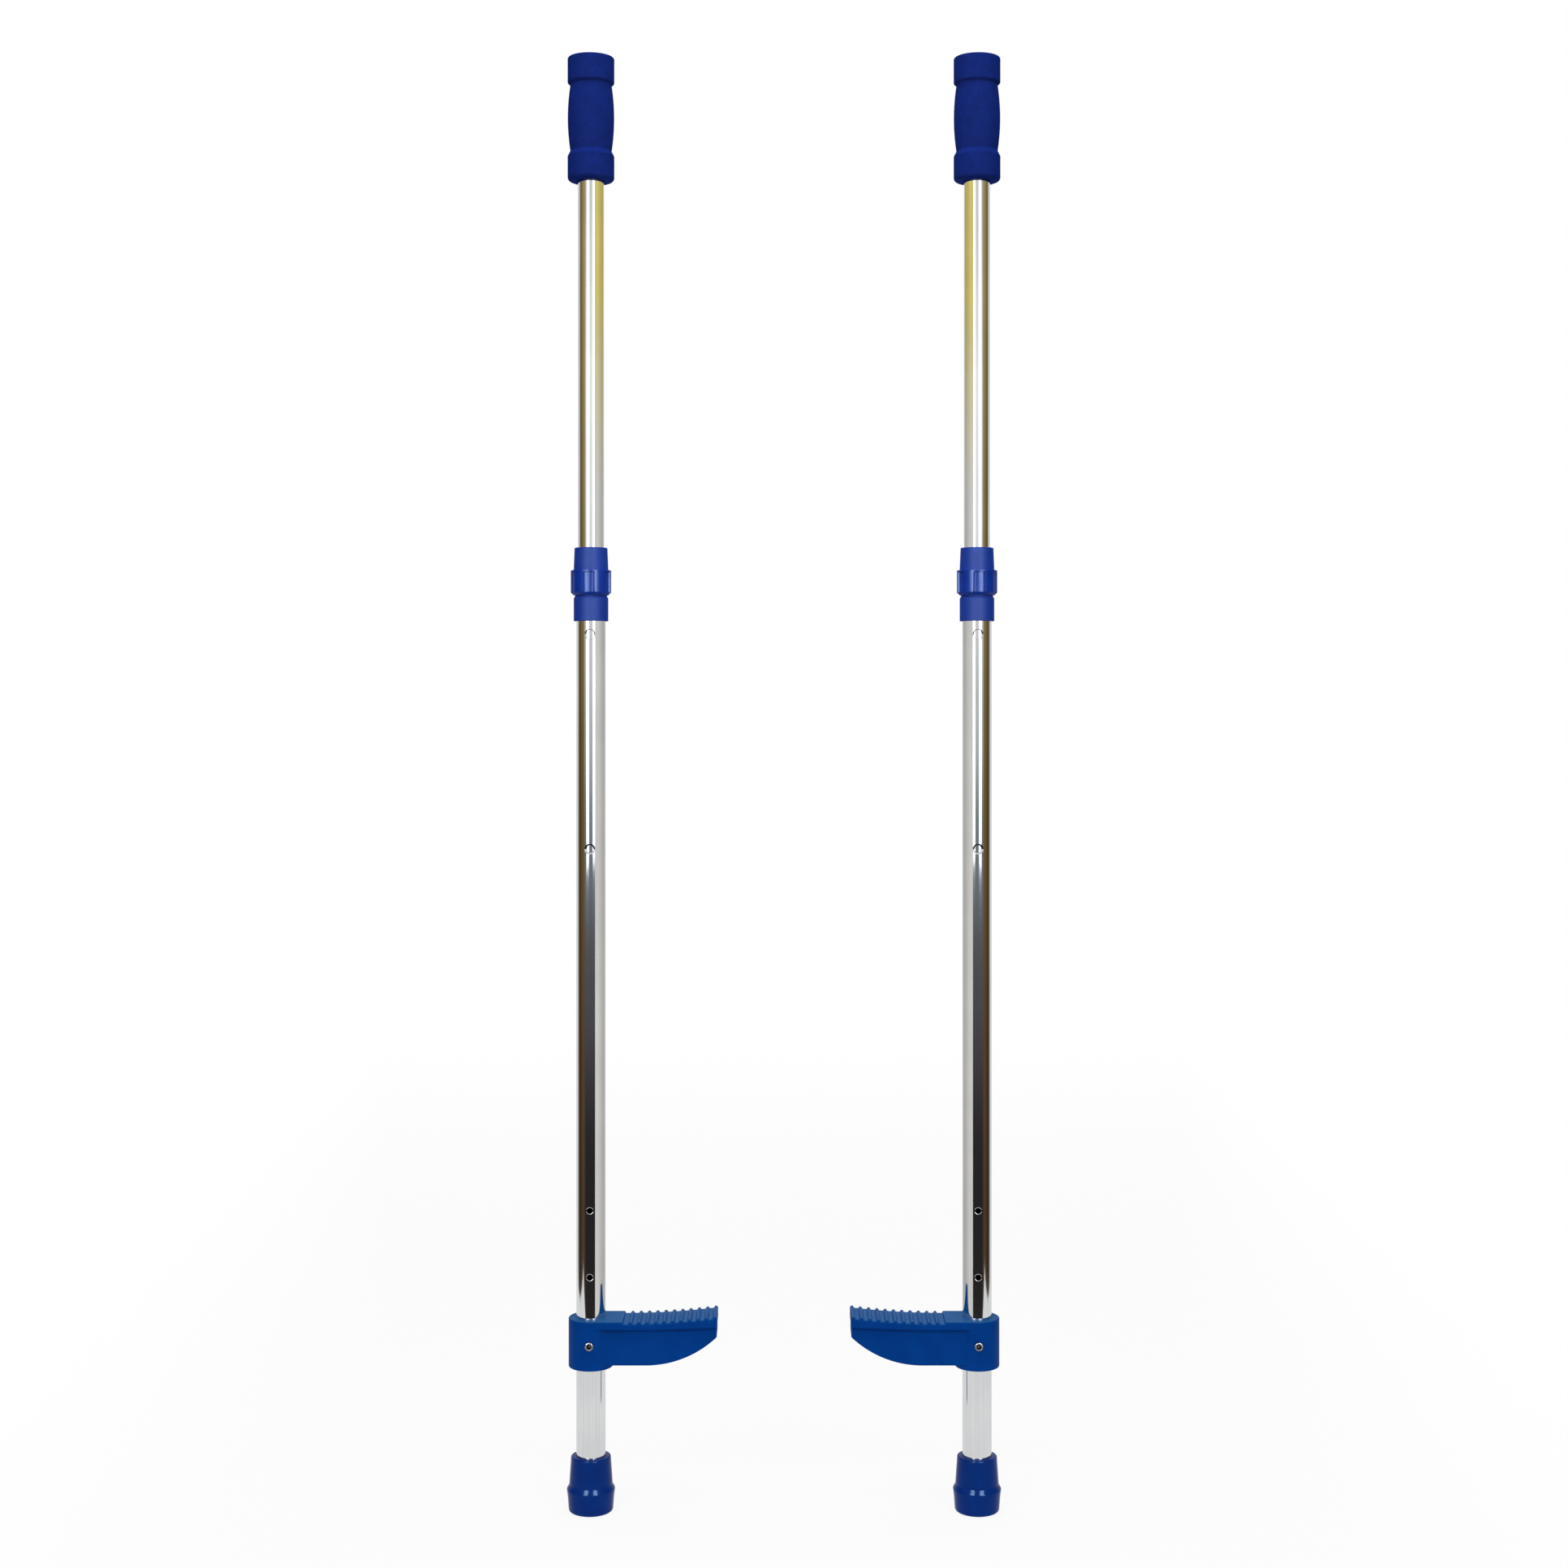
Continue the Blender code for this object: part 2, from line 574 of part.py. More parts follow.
def tread_outline():
    """Side outline of the tread: the plain part, the ribs up to the tip and the lip's lower edge."""
    outline = [(0.0, FOOTREST_TOP), (TREAD_RIBS_START - TREAD_STEP / 2, FOOTREST_TOP)]
    outline.append((TREAD_RIBS_START, tread_height(TREAD_RIBS_START)))
    last_rib = TREAD_TIP - RIB_WIDTH / 2
    ribs = int((last_rib - TREAD_RIBS_START - RIB_WIDTH) / RIB_PITCH) + 1
    for rib in reversed(range(ribs)):
        middle = last_rib - rib * RIB_PITCH
        for share in RIB_PLACES:
            along = middle + share * RIB_WIDTH
            bump = RIB_HEIGHT * math.cos(math.pi * share)
            outline.append((along, tread_height(along) + bump))
    lip = FOOTREST_TOP - LIP_DROP
    for i in range(ARC_STEPS + 1):
        along = TREAD_TIP + (TREAD_RIBS_START - TREAD_TIP) * i / ARC_STEPS
        outline.append((along, lip + rise(along, LIP_CURVE)))
    outline.append((0.0, lip))
    return outline


def arm_outline():
    """Side outline of the arm under the tread: flat beside the collar, then a round belly."""
    bottom = FOOTREST_TOP - ARM_HEIGHT
    belly_rise = ARM_HEIGHT - TIP_DEPTH
    tip = TREAD_TIP - ARM_TIP_SETBACK
    belly_start = tip - math.sqrt(2 * BELLY_CURVE * belly_rise - belly_rise ** 2)
    belly_swing = math.degrees(math.acos(1 - belly_rise / BELLY_CURVE))
    centre = (belly_start, bottom + BELLY_CURVE)
    outline = [(0.0, bottom)] + arc(centre, BELLY_CURVE, -90, -90 + belly_swing, 4 * ARC_STEPS)
    inside_lip = FOOTREST_TOP - (LIP_DROP + TREAD_STEP) / 2
    outline += [(tip, inside_lip), (0.0, inside_lip)]
    return outline


def fillet_outline(hand):
    """Plan of the soft corner between the collar and one side of the arm."""
    centre = (math.sqrt((COLLAR_R + ARM_FILLET) ** 2 - (ARM_HALF + ARM_FILLET) ** 2), -ARM_HALF - ARM_FILLET)
    start = math.degrees(math.atan2(-centre[1], -centre[0]))
    outline = [(0.0, ARM_WALL - ARM_HALF), (0.0, -ARM_HALF)] + arc(centre, ARM_FILLET, start, 90)
    outline.append((centre[0], ARM_WALL - ARM_HALF))
    return [(along, hand * across) for along, across in outline]


def pocket_outlines():
    """Side outlines of the hollows under the tread, between the arm's cross webs."""
    first = COLLAR_R + POCKET_WEB
    last = TREAD_TIP - ARM_TIP_SETBACK - ARM_WALL
    length = (last - first - (POCKETS - 1) * POCKET_WEB) / POCKETS
    below = FOOTREST_TOP - 2 * ARM_HEIGHT
    for pocket in range(POCKETS):
        start = first + pocket * (length + POCKET_WEB)
        outline = [(start, below), (start + length, below)]
        for i in range(ARC_STEPS + 1):
            along = start + length * (1 - i / ARC_STEPS)
            outline.append((along, tread_height(along) - TREAD_SKIN))
        yield outline


def footrest(stilt):
    """Moulded footrest: a collar on the tube and a ribbed tread on a hollow, webbed arm."""

    def facing(outline):
        return [(stilt.facing * along, height) for along, height in outline]

    tread = prism("footrest", facing(tread_outline()), TREAD_HALF)
    rest = stilt.place("footrest", tread, "footrest", stilt.base, (0.0, 0.0, 0.0), ALONG_Y)
    arm = prism("footrest_arm", facing(arm_outline()), ARM_HALF)
    stilt.combine(rest, arm, "UNION", (0.0, 0.0, 0.0), ALONG_Y)
    top = FOOTREST_TOP + COLLAR_RISE
    collar_profile = [(0.0, top)] + arc((COLLAR_R - COLLAR_EDGE, top - COLLAR_EDGE), COLLAR_EDGE, 90, 0)
    collar_profile += arc((COLLAR_R - COLLAR_EDGE, top - COLLAR_HEIGHT + COLLAR_EDGE), COLLAR_EDGE, 0, -90)
    collar_profile += [(0.0, top - COLLAR_HEIGHT)]
    stilt.combine(rest, turned("footrest_collar", collar_profile), "UNION")
    corner_low = FOOTREST_TOP - ARM_HEIGHT + FILLET_LIFT
    corner_high = FOOTREST_TOP - LIP_DROP + TREAD_STEP
    for hand in (-1, 1):
        corner = prism("footrest_corner", facing(fillet_outline(hand)), (corner_high - corner_low) / 2)
        stilt.combine(rest, corner, "UNION", (0.0, 0.0, (corner_low + corner_high) / 2))
    pocket_half = (ARM_HALF - ARM_WALL - POCKET_WEB / 2) / 2
    for count, outline in enumerate(pocket_outlines()):
        for hand in (-1, 1):
            hollow = prism(f"footrest_pocket_{count}", facing(outline), pocket_half)
            place = (0.0, hand * (pocket_half + POCKET_WEB / 2), 0.0)
            stilt.combine(rest, hollow, "DIFFERENCE", place, ALONG_Y)
    bore = rod("footrest_bore", SEAT_BORE_R, 4 * COLLAR_HEIGHT, ROUND_STEPS)
    stilt.combine(rest, bore, "DIFFERENCE", (0.0, 0.0, FOOTREST_TOP))
    shank_hole = rod("footrest_bolt_hole", BOLT_HOLE_R, 4 * COLLAR_R)
    stilt.combine(rest, shank_hole, "DIFFERENCE", (0.0, 0.0, BOLT_Z), ALONG_Y)
    head_hole = rod("footrest_head_recess", BOLT_HEAD / 2 + SEAT_GAP, 2 * HEAD_RECESS)
    stilt.combine(rest, head_hole, "DIFFERENCE", (0.0, -COLLAR_R, BOLT_Z), ALONG_Y)
    nut_hole = rod("footrest_nut_recess", across_corners(NUT_FLATS + 2 * SEAT_GAP), 2 * NUT_RECESS, HEX_SIDES)
    stilt.combine(rest, nut_hole, "DIFFERENCE", (0.0, COLLAR_R, BOLT_Z), ALONG_Y)


def across_corners(flats):
    """Corner radius of a hexagon from its size across flats."""
    return flats / 2 / math.cos(math.pi / HEX_SIDES)


def footrest_bolt(stilt):
    """Socket bolt through collar and tube, its head towards the front; local Z runs to the front."""
    seat = COLLAR_R - HEAD_RECESS + SEAT_GAP
    head_top = seat + BOLT_HEAD_HEIGHT
    end = -nut_face() - BOLT_END
    head_r = BOLT_HEAD / 2
    profile = [(0.0, head_top)]
    profile += arc((head_r - BOLT_HEAD_EDGE, head_top - BOLT_HEAD_EDGE), BOLT_HEAD_EDGE, 90, 0)
    profile += [(head_r, seat), (BOLT_SHANK / 2, seat), (BOLT_SHANK / 2, end), (0.0, end)]
    mesh = turned("footrest_bolt", profile, SMALL_STEPS)
    bolt = stilt.place("footrest_bolt", mesh, "steel", stilt.base, (0.0, 0.0, BOLT_Z), ALONG_Y)
    socket = rod("bolt_socket", across_corners(BOLT_SOCKET), 2 * BOLT_SOCKET_DEPTH, HEX_SIDES)
    stilt.combine(bolt, socket, "DIFFERENCE", (0.0, -head_top, BOLT_Z), ALONG_Y)


def nut_face():
    """Distance of the bolt nut's outer face from the tube's axis."""
    return COLLAR_R - NUT_RECESS + SEAT_GAP + NUT_HEIGHT


def footrest_nut(stilt):
    mesh = rod("footrest_nut", across_corners(NUT_FLATS), NUT_HEIGHT, HEX_SIDES)
    place = (0.0, nut_face() - NUT_HEIGHT / 2, BOLT_Z)
    nut = stilt.place("footrest_nut", mesh, "steel", stilt.base, place, ALONG_Y)
    drill = rod("nut_bore", BOLT_HOLE_R, 2 * NUT_HEIGHT)
    stilt.combine(nut, drill, "DIFFERENCE", place, ALONG_Y)


def main():
    clear_scene()
    parts = new_collection("telescopic_stilts")
    cutters = new_collection("cutters")
    materials = {
        "tube": new_material("polished aluminium", TUBE_COLOUR, 0.12, 1.0),
        "steel": new_material("zinc plated steel", STEEL_COLOUR, 0.3, 1.0),
        "grip": new_material("blue foam", GRIP_COLOUR, 0.85),
        "lock": new_material("blue lock plastic", LOCK_COLOUR, 0.35),
        "footrest": new_material("blue footrest plastic", FOOTREST_COLOUR, 0.4),
        "rubber": new_material("dark blue rubber", RUBBER_COLOUR, 0.45),
        "bush": new_material("black plastic", BUSH_COLOUR, 0.5),
    }
    makers = (
        foot, foot_disc, lower_tube, footrest, footrest_bolt, footrest_nut, lock_body, lock_collet,
        lock_nut, upper_tube, guide_bush, tube_cap, hand_grip,
    )
    for side, facing in (("left", 1), ("right", -1)):
        stilt = Stilt(side, facing, parts, cutters, materials)
        for make in makers:
            make(stilt)
    bpy.context.view_layer.update()


main()
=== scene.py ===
import math

import bpy
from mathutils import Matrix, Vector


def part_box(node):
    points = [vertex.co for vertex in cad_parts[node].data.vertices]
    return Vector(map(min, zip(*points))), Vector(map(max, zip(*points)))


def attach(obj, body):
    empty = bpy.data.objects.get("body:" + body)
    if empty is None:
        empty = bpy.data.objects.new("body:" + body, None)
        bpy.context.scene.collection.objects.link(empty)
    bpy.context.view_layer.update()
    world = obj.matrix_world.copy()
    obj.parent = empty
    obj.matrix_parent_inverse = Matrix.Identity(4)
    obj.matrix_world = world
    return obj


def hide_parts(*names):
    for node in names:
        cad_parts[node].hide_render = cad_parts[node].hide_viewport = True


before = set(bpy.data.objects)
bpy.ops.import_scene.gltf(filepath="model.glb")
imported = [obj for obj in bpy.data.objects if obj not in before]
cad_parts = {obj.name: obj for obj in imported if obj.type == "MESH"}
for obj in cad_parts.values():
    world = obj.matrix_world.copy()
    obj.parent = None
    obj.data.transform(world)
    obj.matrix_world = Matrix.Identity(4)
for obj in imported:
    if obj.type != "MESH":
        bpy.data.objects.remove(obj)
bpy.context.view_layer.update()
mm = 0.001
print("frame loaded, nodes:", len(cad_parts))

# the left stilt is modelled, the right one is its mirror image; the sizes of pieces are in mm
tubeLow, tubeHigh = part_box("left_lower_tube")
axisX = (tubeLow[0] + tubeHigh[0]) / 2
boltUp = 162.2  # footrest bolt above the floor
poleRadius, smallPole = 0.5, 0.3  # a turned piece is closed by a small flat on its axis
weldDistance = 0.01  # points closer than this are merged

# fineness of the meshes
roundSteps = 144
tubeSteps = 192
smallSteps = 64
hexagonSides = 6
arcStep = math.radians(18)  # turn of one step in a rounded corner
cornerShare = 0.45  # most of a side that one rounding takes up
holdOfRadius, holdOfSide = 0.25, 0.04  # how far the holding points stand from an arc


def bottomOf(node):
    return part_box("left_" + node)[0][2]


def makeActive(piece):
    bpy.ops.object.select_all(action="DESELECT")
    piece.select_set(True)
    bpy.context.view_layer.objects.active = piece


def pick(piece, test):
    bpy.ops.mesh.select_mode(type="VERT")
    bpy.ops.mesh.select_all(action="DESELECT")
    bpy.ops.object.mode_set(mode="OBJECT")
    for vertex in piece.data.vertices:
        vertex.select = test(vertex.co)
    bpy.ops.object.mode_set(mode="EDIT")


def useModifier(piece, kind, **settings):
    makeActive(piece)
    modifier = piece.modifiers.new(kind.title(), kind)
    for name, value in settings.items():
        setattr(modifier, name, value)
    bpy.ops.object.modifier_apply(modifier=modifier.name)


def combine(piece, tool, operation):
    useModifier(piece, "BOOLEAN", operation=operation, object=tool, solver="EXACT")
    bpy.data.objects.remove(tool, do_unlink=True)


def mergeDoubles(piece):
    makeActive(piece)
    bpy.ops.object.mode_set(mode="EDIT")
    bpy.ops.mesh.select_all(action="SELECT")
    bpy.ops.mesh.remove_doubles(threshold=weldDistance * mm)
    bpy.ops.mesh.dissolve_degenerate(threshold=weldDistance * mm)
    bpy.ops.mesh.normals_make_consistent(inside=False)
    bpy.ops.object.mode_set(mode="OBJECT")


def roundedCorners(corners, closed):
    # corners are (across, up, rounding); a rounded corner becomes an arc with a holding point on each side
    points = []
    count = len(corners)
    for i, (across, up, rounding) in enumerate(corners):
        isEnd = not closed and i in (0, count - 1)
        if isEnd or rounding == 0:
            points.append((across, up))
            continue
        sides = []
        for other in (corners[i - 1], corners[(i + 1) % count]):
            stepX, stepY = other[0] - across, other[1] - up
            length = math.hypot(stepX, stepY)
            sides.append((stepX / length, stepY / length, length))
        (backX, backY, backLength), (nextX, nextY, nextLength) = sides
        half = math.acos(max(-1.0, min(1.0, backX * nextX + backY * nextY))) / 2
        reach = min(rounding / math.tan(half), cornerShare * backLength, cornerShare * nextLength)
        radius = reach * math.tan(half)
        middleX, middleY = backX + nextX, backY + nextY
        middleLength = math.hypot(middleX, middleY)
        arcX = across + middleX / middleLength * radius / math.sin(half)
        arcY = up + middleY / middleLength * radius / math.sin(half)
        start = math.atan2(up + backY * reach - arcY, across + backX * reach - arcX)
        turn = math.atan2(up + nextY * reach - arcY, across + nextX * reach - arcX) - start
        turn = (turn + math.pi) % (2 * math.pi) - math.pi
        steps = max(2, math.ceil(abs(turn) / arcStep))
        hold = min(holdOfRadius * radius, holdOfSide * backLength, holdOfSide * nextLength)
        points.append((across + backX * (reach + hold), up + backY * (reach + hold)))
        for k in range(steps + 1):
            angle = start + turn * k / steps
            points.append((arcX + radius * math.cos(angle), arcY + radius * math.sin(angle)))
        points.append((across + nextX * (reach + hold), up + nextY * (reach + hold)))
    return points


def turnRings(name, corners, baseZ, steps=roundSteps, closed=False, centreX=axisX):
    # a circle is extruded and resized from ring to ring; corners stand above baseZ, which is in metres
    points = roundedCorners(corners, closed)
    firstRadius, firstUp = points[0]
    bpy.ops.object.select_all(action="DESELECT")
    bpy.ops.mesh.primitive_circle_add(
        vertices=steps, radius=firstRadius * mm, location=(centreX, 0, baseZ + firstUp * mm)
    )
    piece = bpy.context.object
    piece.name = name
    bpy.ops.object.transform_apply(location=True)
    bpy.ops.object.mode_set(mode="EDIT")
    bpy.ops.mesh.select_all(action="SELECT")
    for (oldRadius, oldUp), (radius, up) in zip(points, points[1:]):
        bpy.ops.mesh.extrude_region_move(TRANSFORM_OT_translate={"value": (0, 0, (up - oldUp) * mm)})
        bpy.ops.transform.resize(
            value=(radius / oldRadius, radius / oldRadius, 1), center_override=(centreX, 0, baseZ + up * mm)
        )
    bpy.ops.mesh.select_all(action="DESELECT")
    bpy.ops.mesh.select_non_manifold()
    if closed:
        bpy.ops.mesh.bridge_edge_loops()
    else:
        bpy.ops.mesh.fill_holes(sides=0)
    bpy.ops.mesh.select_all(action="SELECT")
    bpy.ops.mesh.normals_make_consistent(inside=False)
    bpy.ops.object.mode_set(mode="OBJECT")
    return piece


def layAlongY(piece, up):
    # a piece turned about Z is laid so that its top faces the front
    piece.rotation_euler.x = math.pi / 2
    piece.location = (axisX, 0, up)
    makeActive(piece)
    bpy.ops.object.transform_apply(location=True, rotation=True, scale=True)
    return piece


def cutSheet(name, outline, halfDepth, rounding, upright, place):
    # flat outline made as thick as asked, with rounded edges; an upright one stands in X and Z
    curve = bpy.data.curves.new(name, "CURVE")
    curve.dimensions = "2D"
    curve.fill_mode = "BOTH"
    curve.extrude = (halfDepth - rounding) * mm
    curve.bevel_depth = rounding * mm
    curve.bevel_resolution = 2
    curve.offset = -rounding * mm
    spline = curve.splines.new("POLY")
    spline.points.add(len(outline) - 1)
    for point, (across, up) in zip(spline.points, outline):
        point.co = (across * mm, up * mm, 0, 1)
    spline.use_cyclic_u = True
    piece = bpy.data.objects.new(name, curve)
    bpy.context.collection.objects.link(piece)
    piece.location = place
    piece.rotation_euler.x = math.pi / 2 if upright else 0
    makeActive(piece)
    bpy.ops.object.convert(target="MESH")
    piece = bpy.context.object
    bpy.ops.object.transform_apply(location=True, rotation=True, scale=True)
    mergeDoubles(piece)
    return piece


def addRod(radius, length, place, sides=smallSteps, alongY=True):
    bpy.ops.object.select_all(action="DESELECT")
    turn = (math.pi / 2, 0, 0) if alongY else (0, 0, 0)
    bpy.ops.mesh.primitive_cylinder_add(
        vertices=sides, radius=radius * mm, depth=length * mm, location=place, rotation=turn
    )
    bpy.ops.object.transform_apply(location=True, rotation=True, scale=True)
    return bpy.context.object


def arcPoints(arcX, arcY, radius, start, end, steps):
    angles = [math.radians(start + (end - start) * i / steps) for i in range(steps + 1)]
    return [(arcX + radius * math.cos(a), arcY + radius * math.sin(a)) for a in angles]


# rubber foot: a blind socket with a thick ring around it
footSettings = {
    "bore": 14.1, "boreEdge": 0.6, "sole": 8.0, "height": 53.0,
    "rim": 18.95, "rimSlope": 0.58, "rimEdge": 1.4, "wall": 20.75, "wallEdge": 1.5,
    "ring": 23.05, "ringUp": 21.3, "ringEdge": 2.2, "slope": 4.2,
    "under": 22.08, "lip": 7.8, "lipEdge": 14.0, "base": 21.1, "baseEdge": 2.6,
    "grooveIn": 8.5, "grooveOut": 11.5, "grooveDeep": 1.5, "grooveMouth": 0.4, "grooveEdge": 0.3,
}


def makeFoot(size):
    corners = [
        (poleRadius, size["sole"], 0),
        (size["bore"], size["sole"], size["boreEdge"]),
        (size["bore"], size["height"], size["boreEdge"]),
        (size["rim"], size["height"] - size["rimSlope"], size["rimEdge"]),
        (size["wall"], size["ringUp"] + size["slope"], size["wallEdge"]),
        (size["ring"], size["ringUp"], size["ringEdge"]),
        (size["under"], size["ringUp"] - size["lip"], size["lipEdge"]),
        (size["base"], 0.0, size["baseEdge"]),
        (size["grooveOut"], 0.0, size["grooveMouth"]),
        (size["grooveOut"], size["grooveDeep"], size["grooveEdge"]),
        (size["grooveIn"], size["grooveDeep"], size["grooveEdge"]),
        (size["grooveIn"], 0.0, size["grooveMouth"]),
        (poleRadius, 0.0, 0),
    ]
    return turnRings("left_foot_rubber", corners, 0.0)


# tubes: thin walled, with the footrest's bolt holes and two sight holes punched in the lower one
tubeSettings = {
    "lowerOuter": 14.0, "lowerBore": 12.8, "upperOuter": 12.5, "upperBore": 11.5, "edge": 0.25,
    "boltHole": 3.05, "boltDish": 0.4, "holePitch": 63.4, "boltHoles": 3,
    "sightDepths": (30.0, 234.0), "sightEdge": 5.2, "sightDishes": (0.5, 1.5),
    "dishSlope": 0.36, "dishProud": 0.02, "punchReach": 4.0, "ringGap": 9.0,
}


def punchHole(tube, size, height, radius, dish, hand):
    # the punch leaves a dished rim that follows the curve of the wall; hand is -1 in front and 1 behind
    wall, reach = size["lowerOuter"], size["punchReach"]
    corners = [
        (smallPole, reach, 0), (radius + dish, reach, 0), (radius + dish, size["dishProud"], 0),
        (radius, -dish * size["dishSlope"], 0), (radius, -reach, 0), (smallPole, -reach, 0),
    ]
    punch = layAlongY(turnRings("punch", corners, wall * mm, smallSteps, centreX=0.0), height)
    for vertex in punch.data.vertices:
        across = (vertex.co.x - axisX) / mm
        vertex.co.y += (wall - math.sqrt(wall ** 2 - across ** 2)) * mm
        vertex.co.y *= -hand
    mergeDoubles(punch)
    combine(tube, punch, "DIFFERENCE")


def makeLowerTube(size):
    low, high = tubeLow[2], tubeHigh[2]
    length = (high - low) / mm
    boltHeights = [boltUp * mm + size["holePitch"] * mm * i for i in range(size["boltHoles"])]
    sightHeights = [high - depth * mm for depth in size["sightDepths"]]
    # rings above and below each hole keep the cuts local
    outer, bore, edge = size["lowerOuter"], size["lowerBore"], size["edge"]
    walls = []
    for height in sorted(boltHeights + sightHeights, reverse=True):
        middle = (height - low) / mm
        walls += [(outer, middle + size["ringGap"], 0), (outer, middle - size["ringGap"], 0)]
    corners = [(outer, length, edge)] + walls + [(outer, 0, edge), (bore, 0, edge), (bore, length, edge)]
    tube = turnRings("left_lower_pole", corners, low, tubeSteps, closed=True)
    for height in boltHeights:
        for hand in (-1, 1):
            punchHole(tube, size, height, size["boltHole"], size["boltDish"], hand)
    for height, dish in zip(sightHeights, size["sightDishes"]):
        punchHole(tube, size, height, size["sightEdge"] - dish, dish, -1)
    mergeDoubles(tube)
    return tube


def makeUpperTube(size):
    low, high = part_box("left_upper_tube")
    length = (high[2] - low[2]) / mm
    outer, bore, edge = size["upperOuter"], size["upperBore"], size["edge"]
    corners = [(outer, length, edge), (outer, 0, edge), (bore, 0, edge), (bore, length, edge)]
    return turnRings("left_upper_pole", corners, low[2], tubeSteps, closed=True)


# twist lock: a sleeve with a threaded spigot, and a fluted nut with a tapered nose
lockSettings = {
    "bore": 12.8, "edge": 0.3,
    "seat": 14.3, "shoulder": 17.3, "sleeve": 16.5, "sleeveTop": 24.0, "chamfer": 2.4,
    "spigot": 15.2, "spigotTop": 41.0, "thread": 0.3, "threadPitch": 3.0, "threads": 4, "threadStart": 0.8,
    "nutTop": 45.5, "nose": 16.55, "noseTip": 15.7, "ring": 19.3, "ringTop": 24.0, "ringFoot": 16.4,
    "ringChamfer": 2.8, "rim": 1.7, "step": 0.5, "nutBore": 15.6, "taperUp": 19.8, "taperWide": 15.2,
    "taperNarrow": 14.1, "lipUp": 38.2,
    "flute": 1.3, "flutes": 6, "fluteTurn": -90.8, "fluteMargin": 0.2, "sharpAbove": 30.0,
}


def makeLockSleeve(size):
    edge = size["edge"]
    corners = [(size["spigot"], size["spigotTop"], edge)]
    for i in range(size["threads"]):
        middle = size["spigotTop"] - (i + size["threadStart"]) * size["threadPitch"]
        quarter = size["threadPitch"] / 4
        corners += [
            (size["spigot"], middle + quarter, 0),
            (size["spigot"] + size["thread"], middle, 0),
            (size["spigot"], middle - quarter, 0),
        ]
    corners += [
        (size["spigot"], size["sleeveTop"], edge),
        (size["sleeve"], size["sleeveTop"] - size["chamfer"], edge),
        (size["sleeve"], 0, 2 * edge),
        (size["seat"], 0, edge),
        (size["seat"], size["shoulder"], edge),
        (size["bore"], size["shoulder"], edge),
        (size["bore"], size["spigotTop"], edge),
    ]
    return turnRings("left_lock_sleeve", corners, bottomOf("lock_body"), closed=True)


def makeLockNut(size):
    base = bottomOf("lock_nut")
    edge = size["edge"]
    fluteTop = size["ringTop"] - size["rim"]
    corners = [
        (size["noseTip"], size["nutTop"], 2 * edge),
        (size["nose"], size["ringTop"], edge),
        (size["ring"], size["ringTop"], edge),
        (size["ring"], fluteTop, 0),
        (size["ring"], fluteTop - size["step"], 0),
        (size["ring"], size["ringChamfer"], edge),
        (size["ringFoot"], 0, edge),
        (size["nutBore"], 0, edge),
        (size["nutBore"], size["taperUp"], 0),
        (size["taperWide"], size["taperUp"], 0),
        (size["taperNarrow"], size["lipUp"], 0),
        (size["bore"], size["lipUp"], 0),
        (size["bore"], size["nutTop"], edge),
    ]
    nut = turnRings("left_lock_ring", corners, base, closed=True)
    share = 360 / size["flutes"]

    def inFlute(place):
        # a flute takes up half of its share of the ring
        x, y, up = place.x - axisX, place.y, (place.z - base) / mm
        turn = math.degrees(math.atan2(y, x)) - size["fluteTurn"]
        offset = abs((turn + share / 2) % share - share / 2)
        outside = math.hypot(x, y) / mm > size["ringFoot"] + size["fluteMargin"]
        return offset < share / 4 and outside and up < fluteTop - size["step"] / 2

    bpy.ops.object.mode_set(mode="EDIT")
    pick(nut, inFlute)
    shrink = 1 - size["flute"] / size["ring"]
    bpy.ops.transform.resize(value=(shrink, shrink, 1), center_override=(axisX, 0, base))
    bpy.ops.object.mode_set(mode="OBJECT")
    sharp = math.radians(size["sharpAbove"])
    useModifier(nut, "BEVEL", width=edge * mm, segments=2, limit_method="ANGLE", angle_limit=sharp)
    return nut


# foam grip: a closed, slightly domed end, two collars and a soft bulge between their necks
gripSettings = {
    "length": 119.4, "bore": 12.8, "boreTop": 113.4, "boreEdge": 0.5, "mouthEdge": 0.8,
    "collar": 22.25, "upperCollar": 94.0, "lowerCollar": 23.7, "topEdge": 1.5, "lowEdge": 3.5,
    "neck": 19.7, "upperNeck": 91.8, "lowerNeck": 28.7, "soft": 1.2,
    "bulge": 2.4, "bulgeSteps": 16, "domeCurve": 144.3, "domeSteps": 6,
}


def makeGrip(size):
    def domeDrop(radius):
        return size["domeCurve"] - math.sqrt(size["domeCurve"] ** 2 - radius ** 2)

    collar, soft = size["collar"], size["soft"]
    corners = []
    for i in range(size["domeSteps"]):
        radius = poleRadius + (collar - size["topEdge"] - poleRadius) * i / size["domeSteps"]
        corners.append((radius, size["length"] - domeDrop(radius), 0))
    corners.append((collar, size["length"] - domeDrop(collar), size["topEdge"]))
    corners.append((collar, size["upperCollar"], soft))
    halfSpan = (size["upperNeck"] - size["lowerNeck"]) / 2
    curve = (halfSpan ** 2 + size["bulge"] ** 2) / (2 * size["bulge"])
    middle = (size["upperNeck"] + size["lowerNeck"]) / 2
    swing = math.degrees(math.asin(halfSpan / curve))
    arcX = size["neck"] + size["bulge"] - curve
    bulge = arcPoints(arcX, middle, curve, swing, -swing, size["bulgeSteps"])
    corners.append((*bulge[0], soft))
    corners += [(across, up, 0) for across, up in bulge[1:-1]]
    corners.append((*bulge[-1], soft))
    corners += [
        (collar, size["lowerCollar"], soft),
        (collar, 0, size["lowEdge"]),
        (size["bore"], 0, size["mouthEdge"]),
        (size["bore"], size["boreTop"], size["boreEdge"]),
        (poleRadius, size["boreTop"], 0),
    ]
    return turnRings("left_foam_grip", corners, bottomOf("hand_grip"))


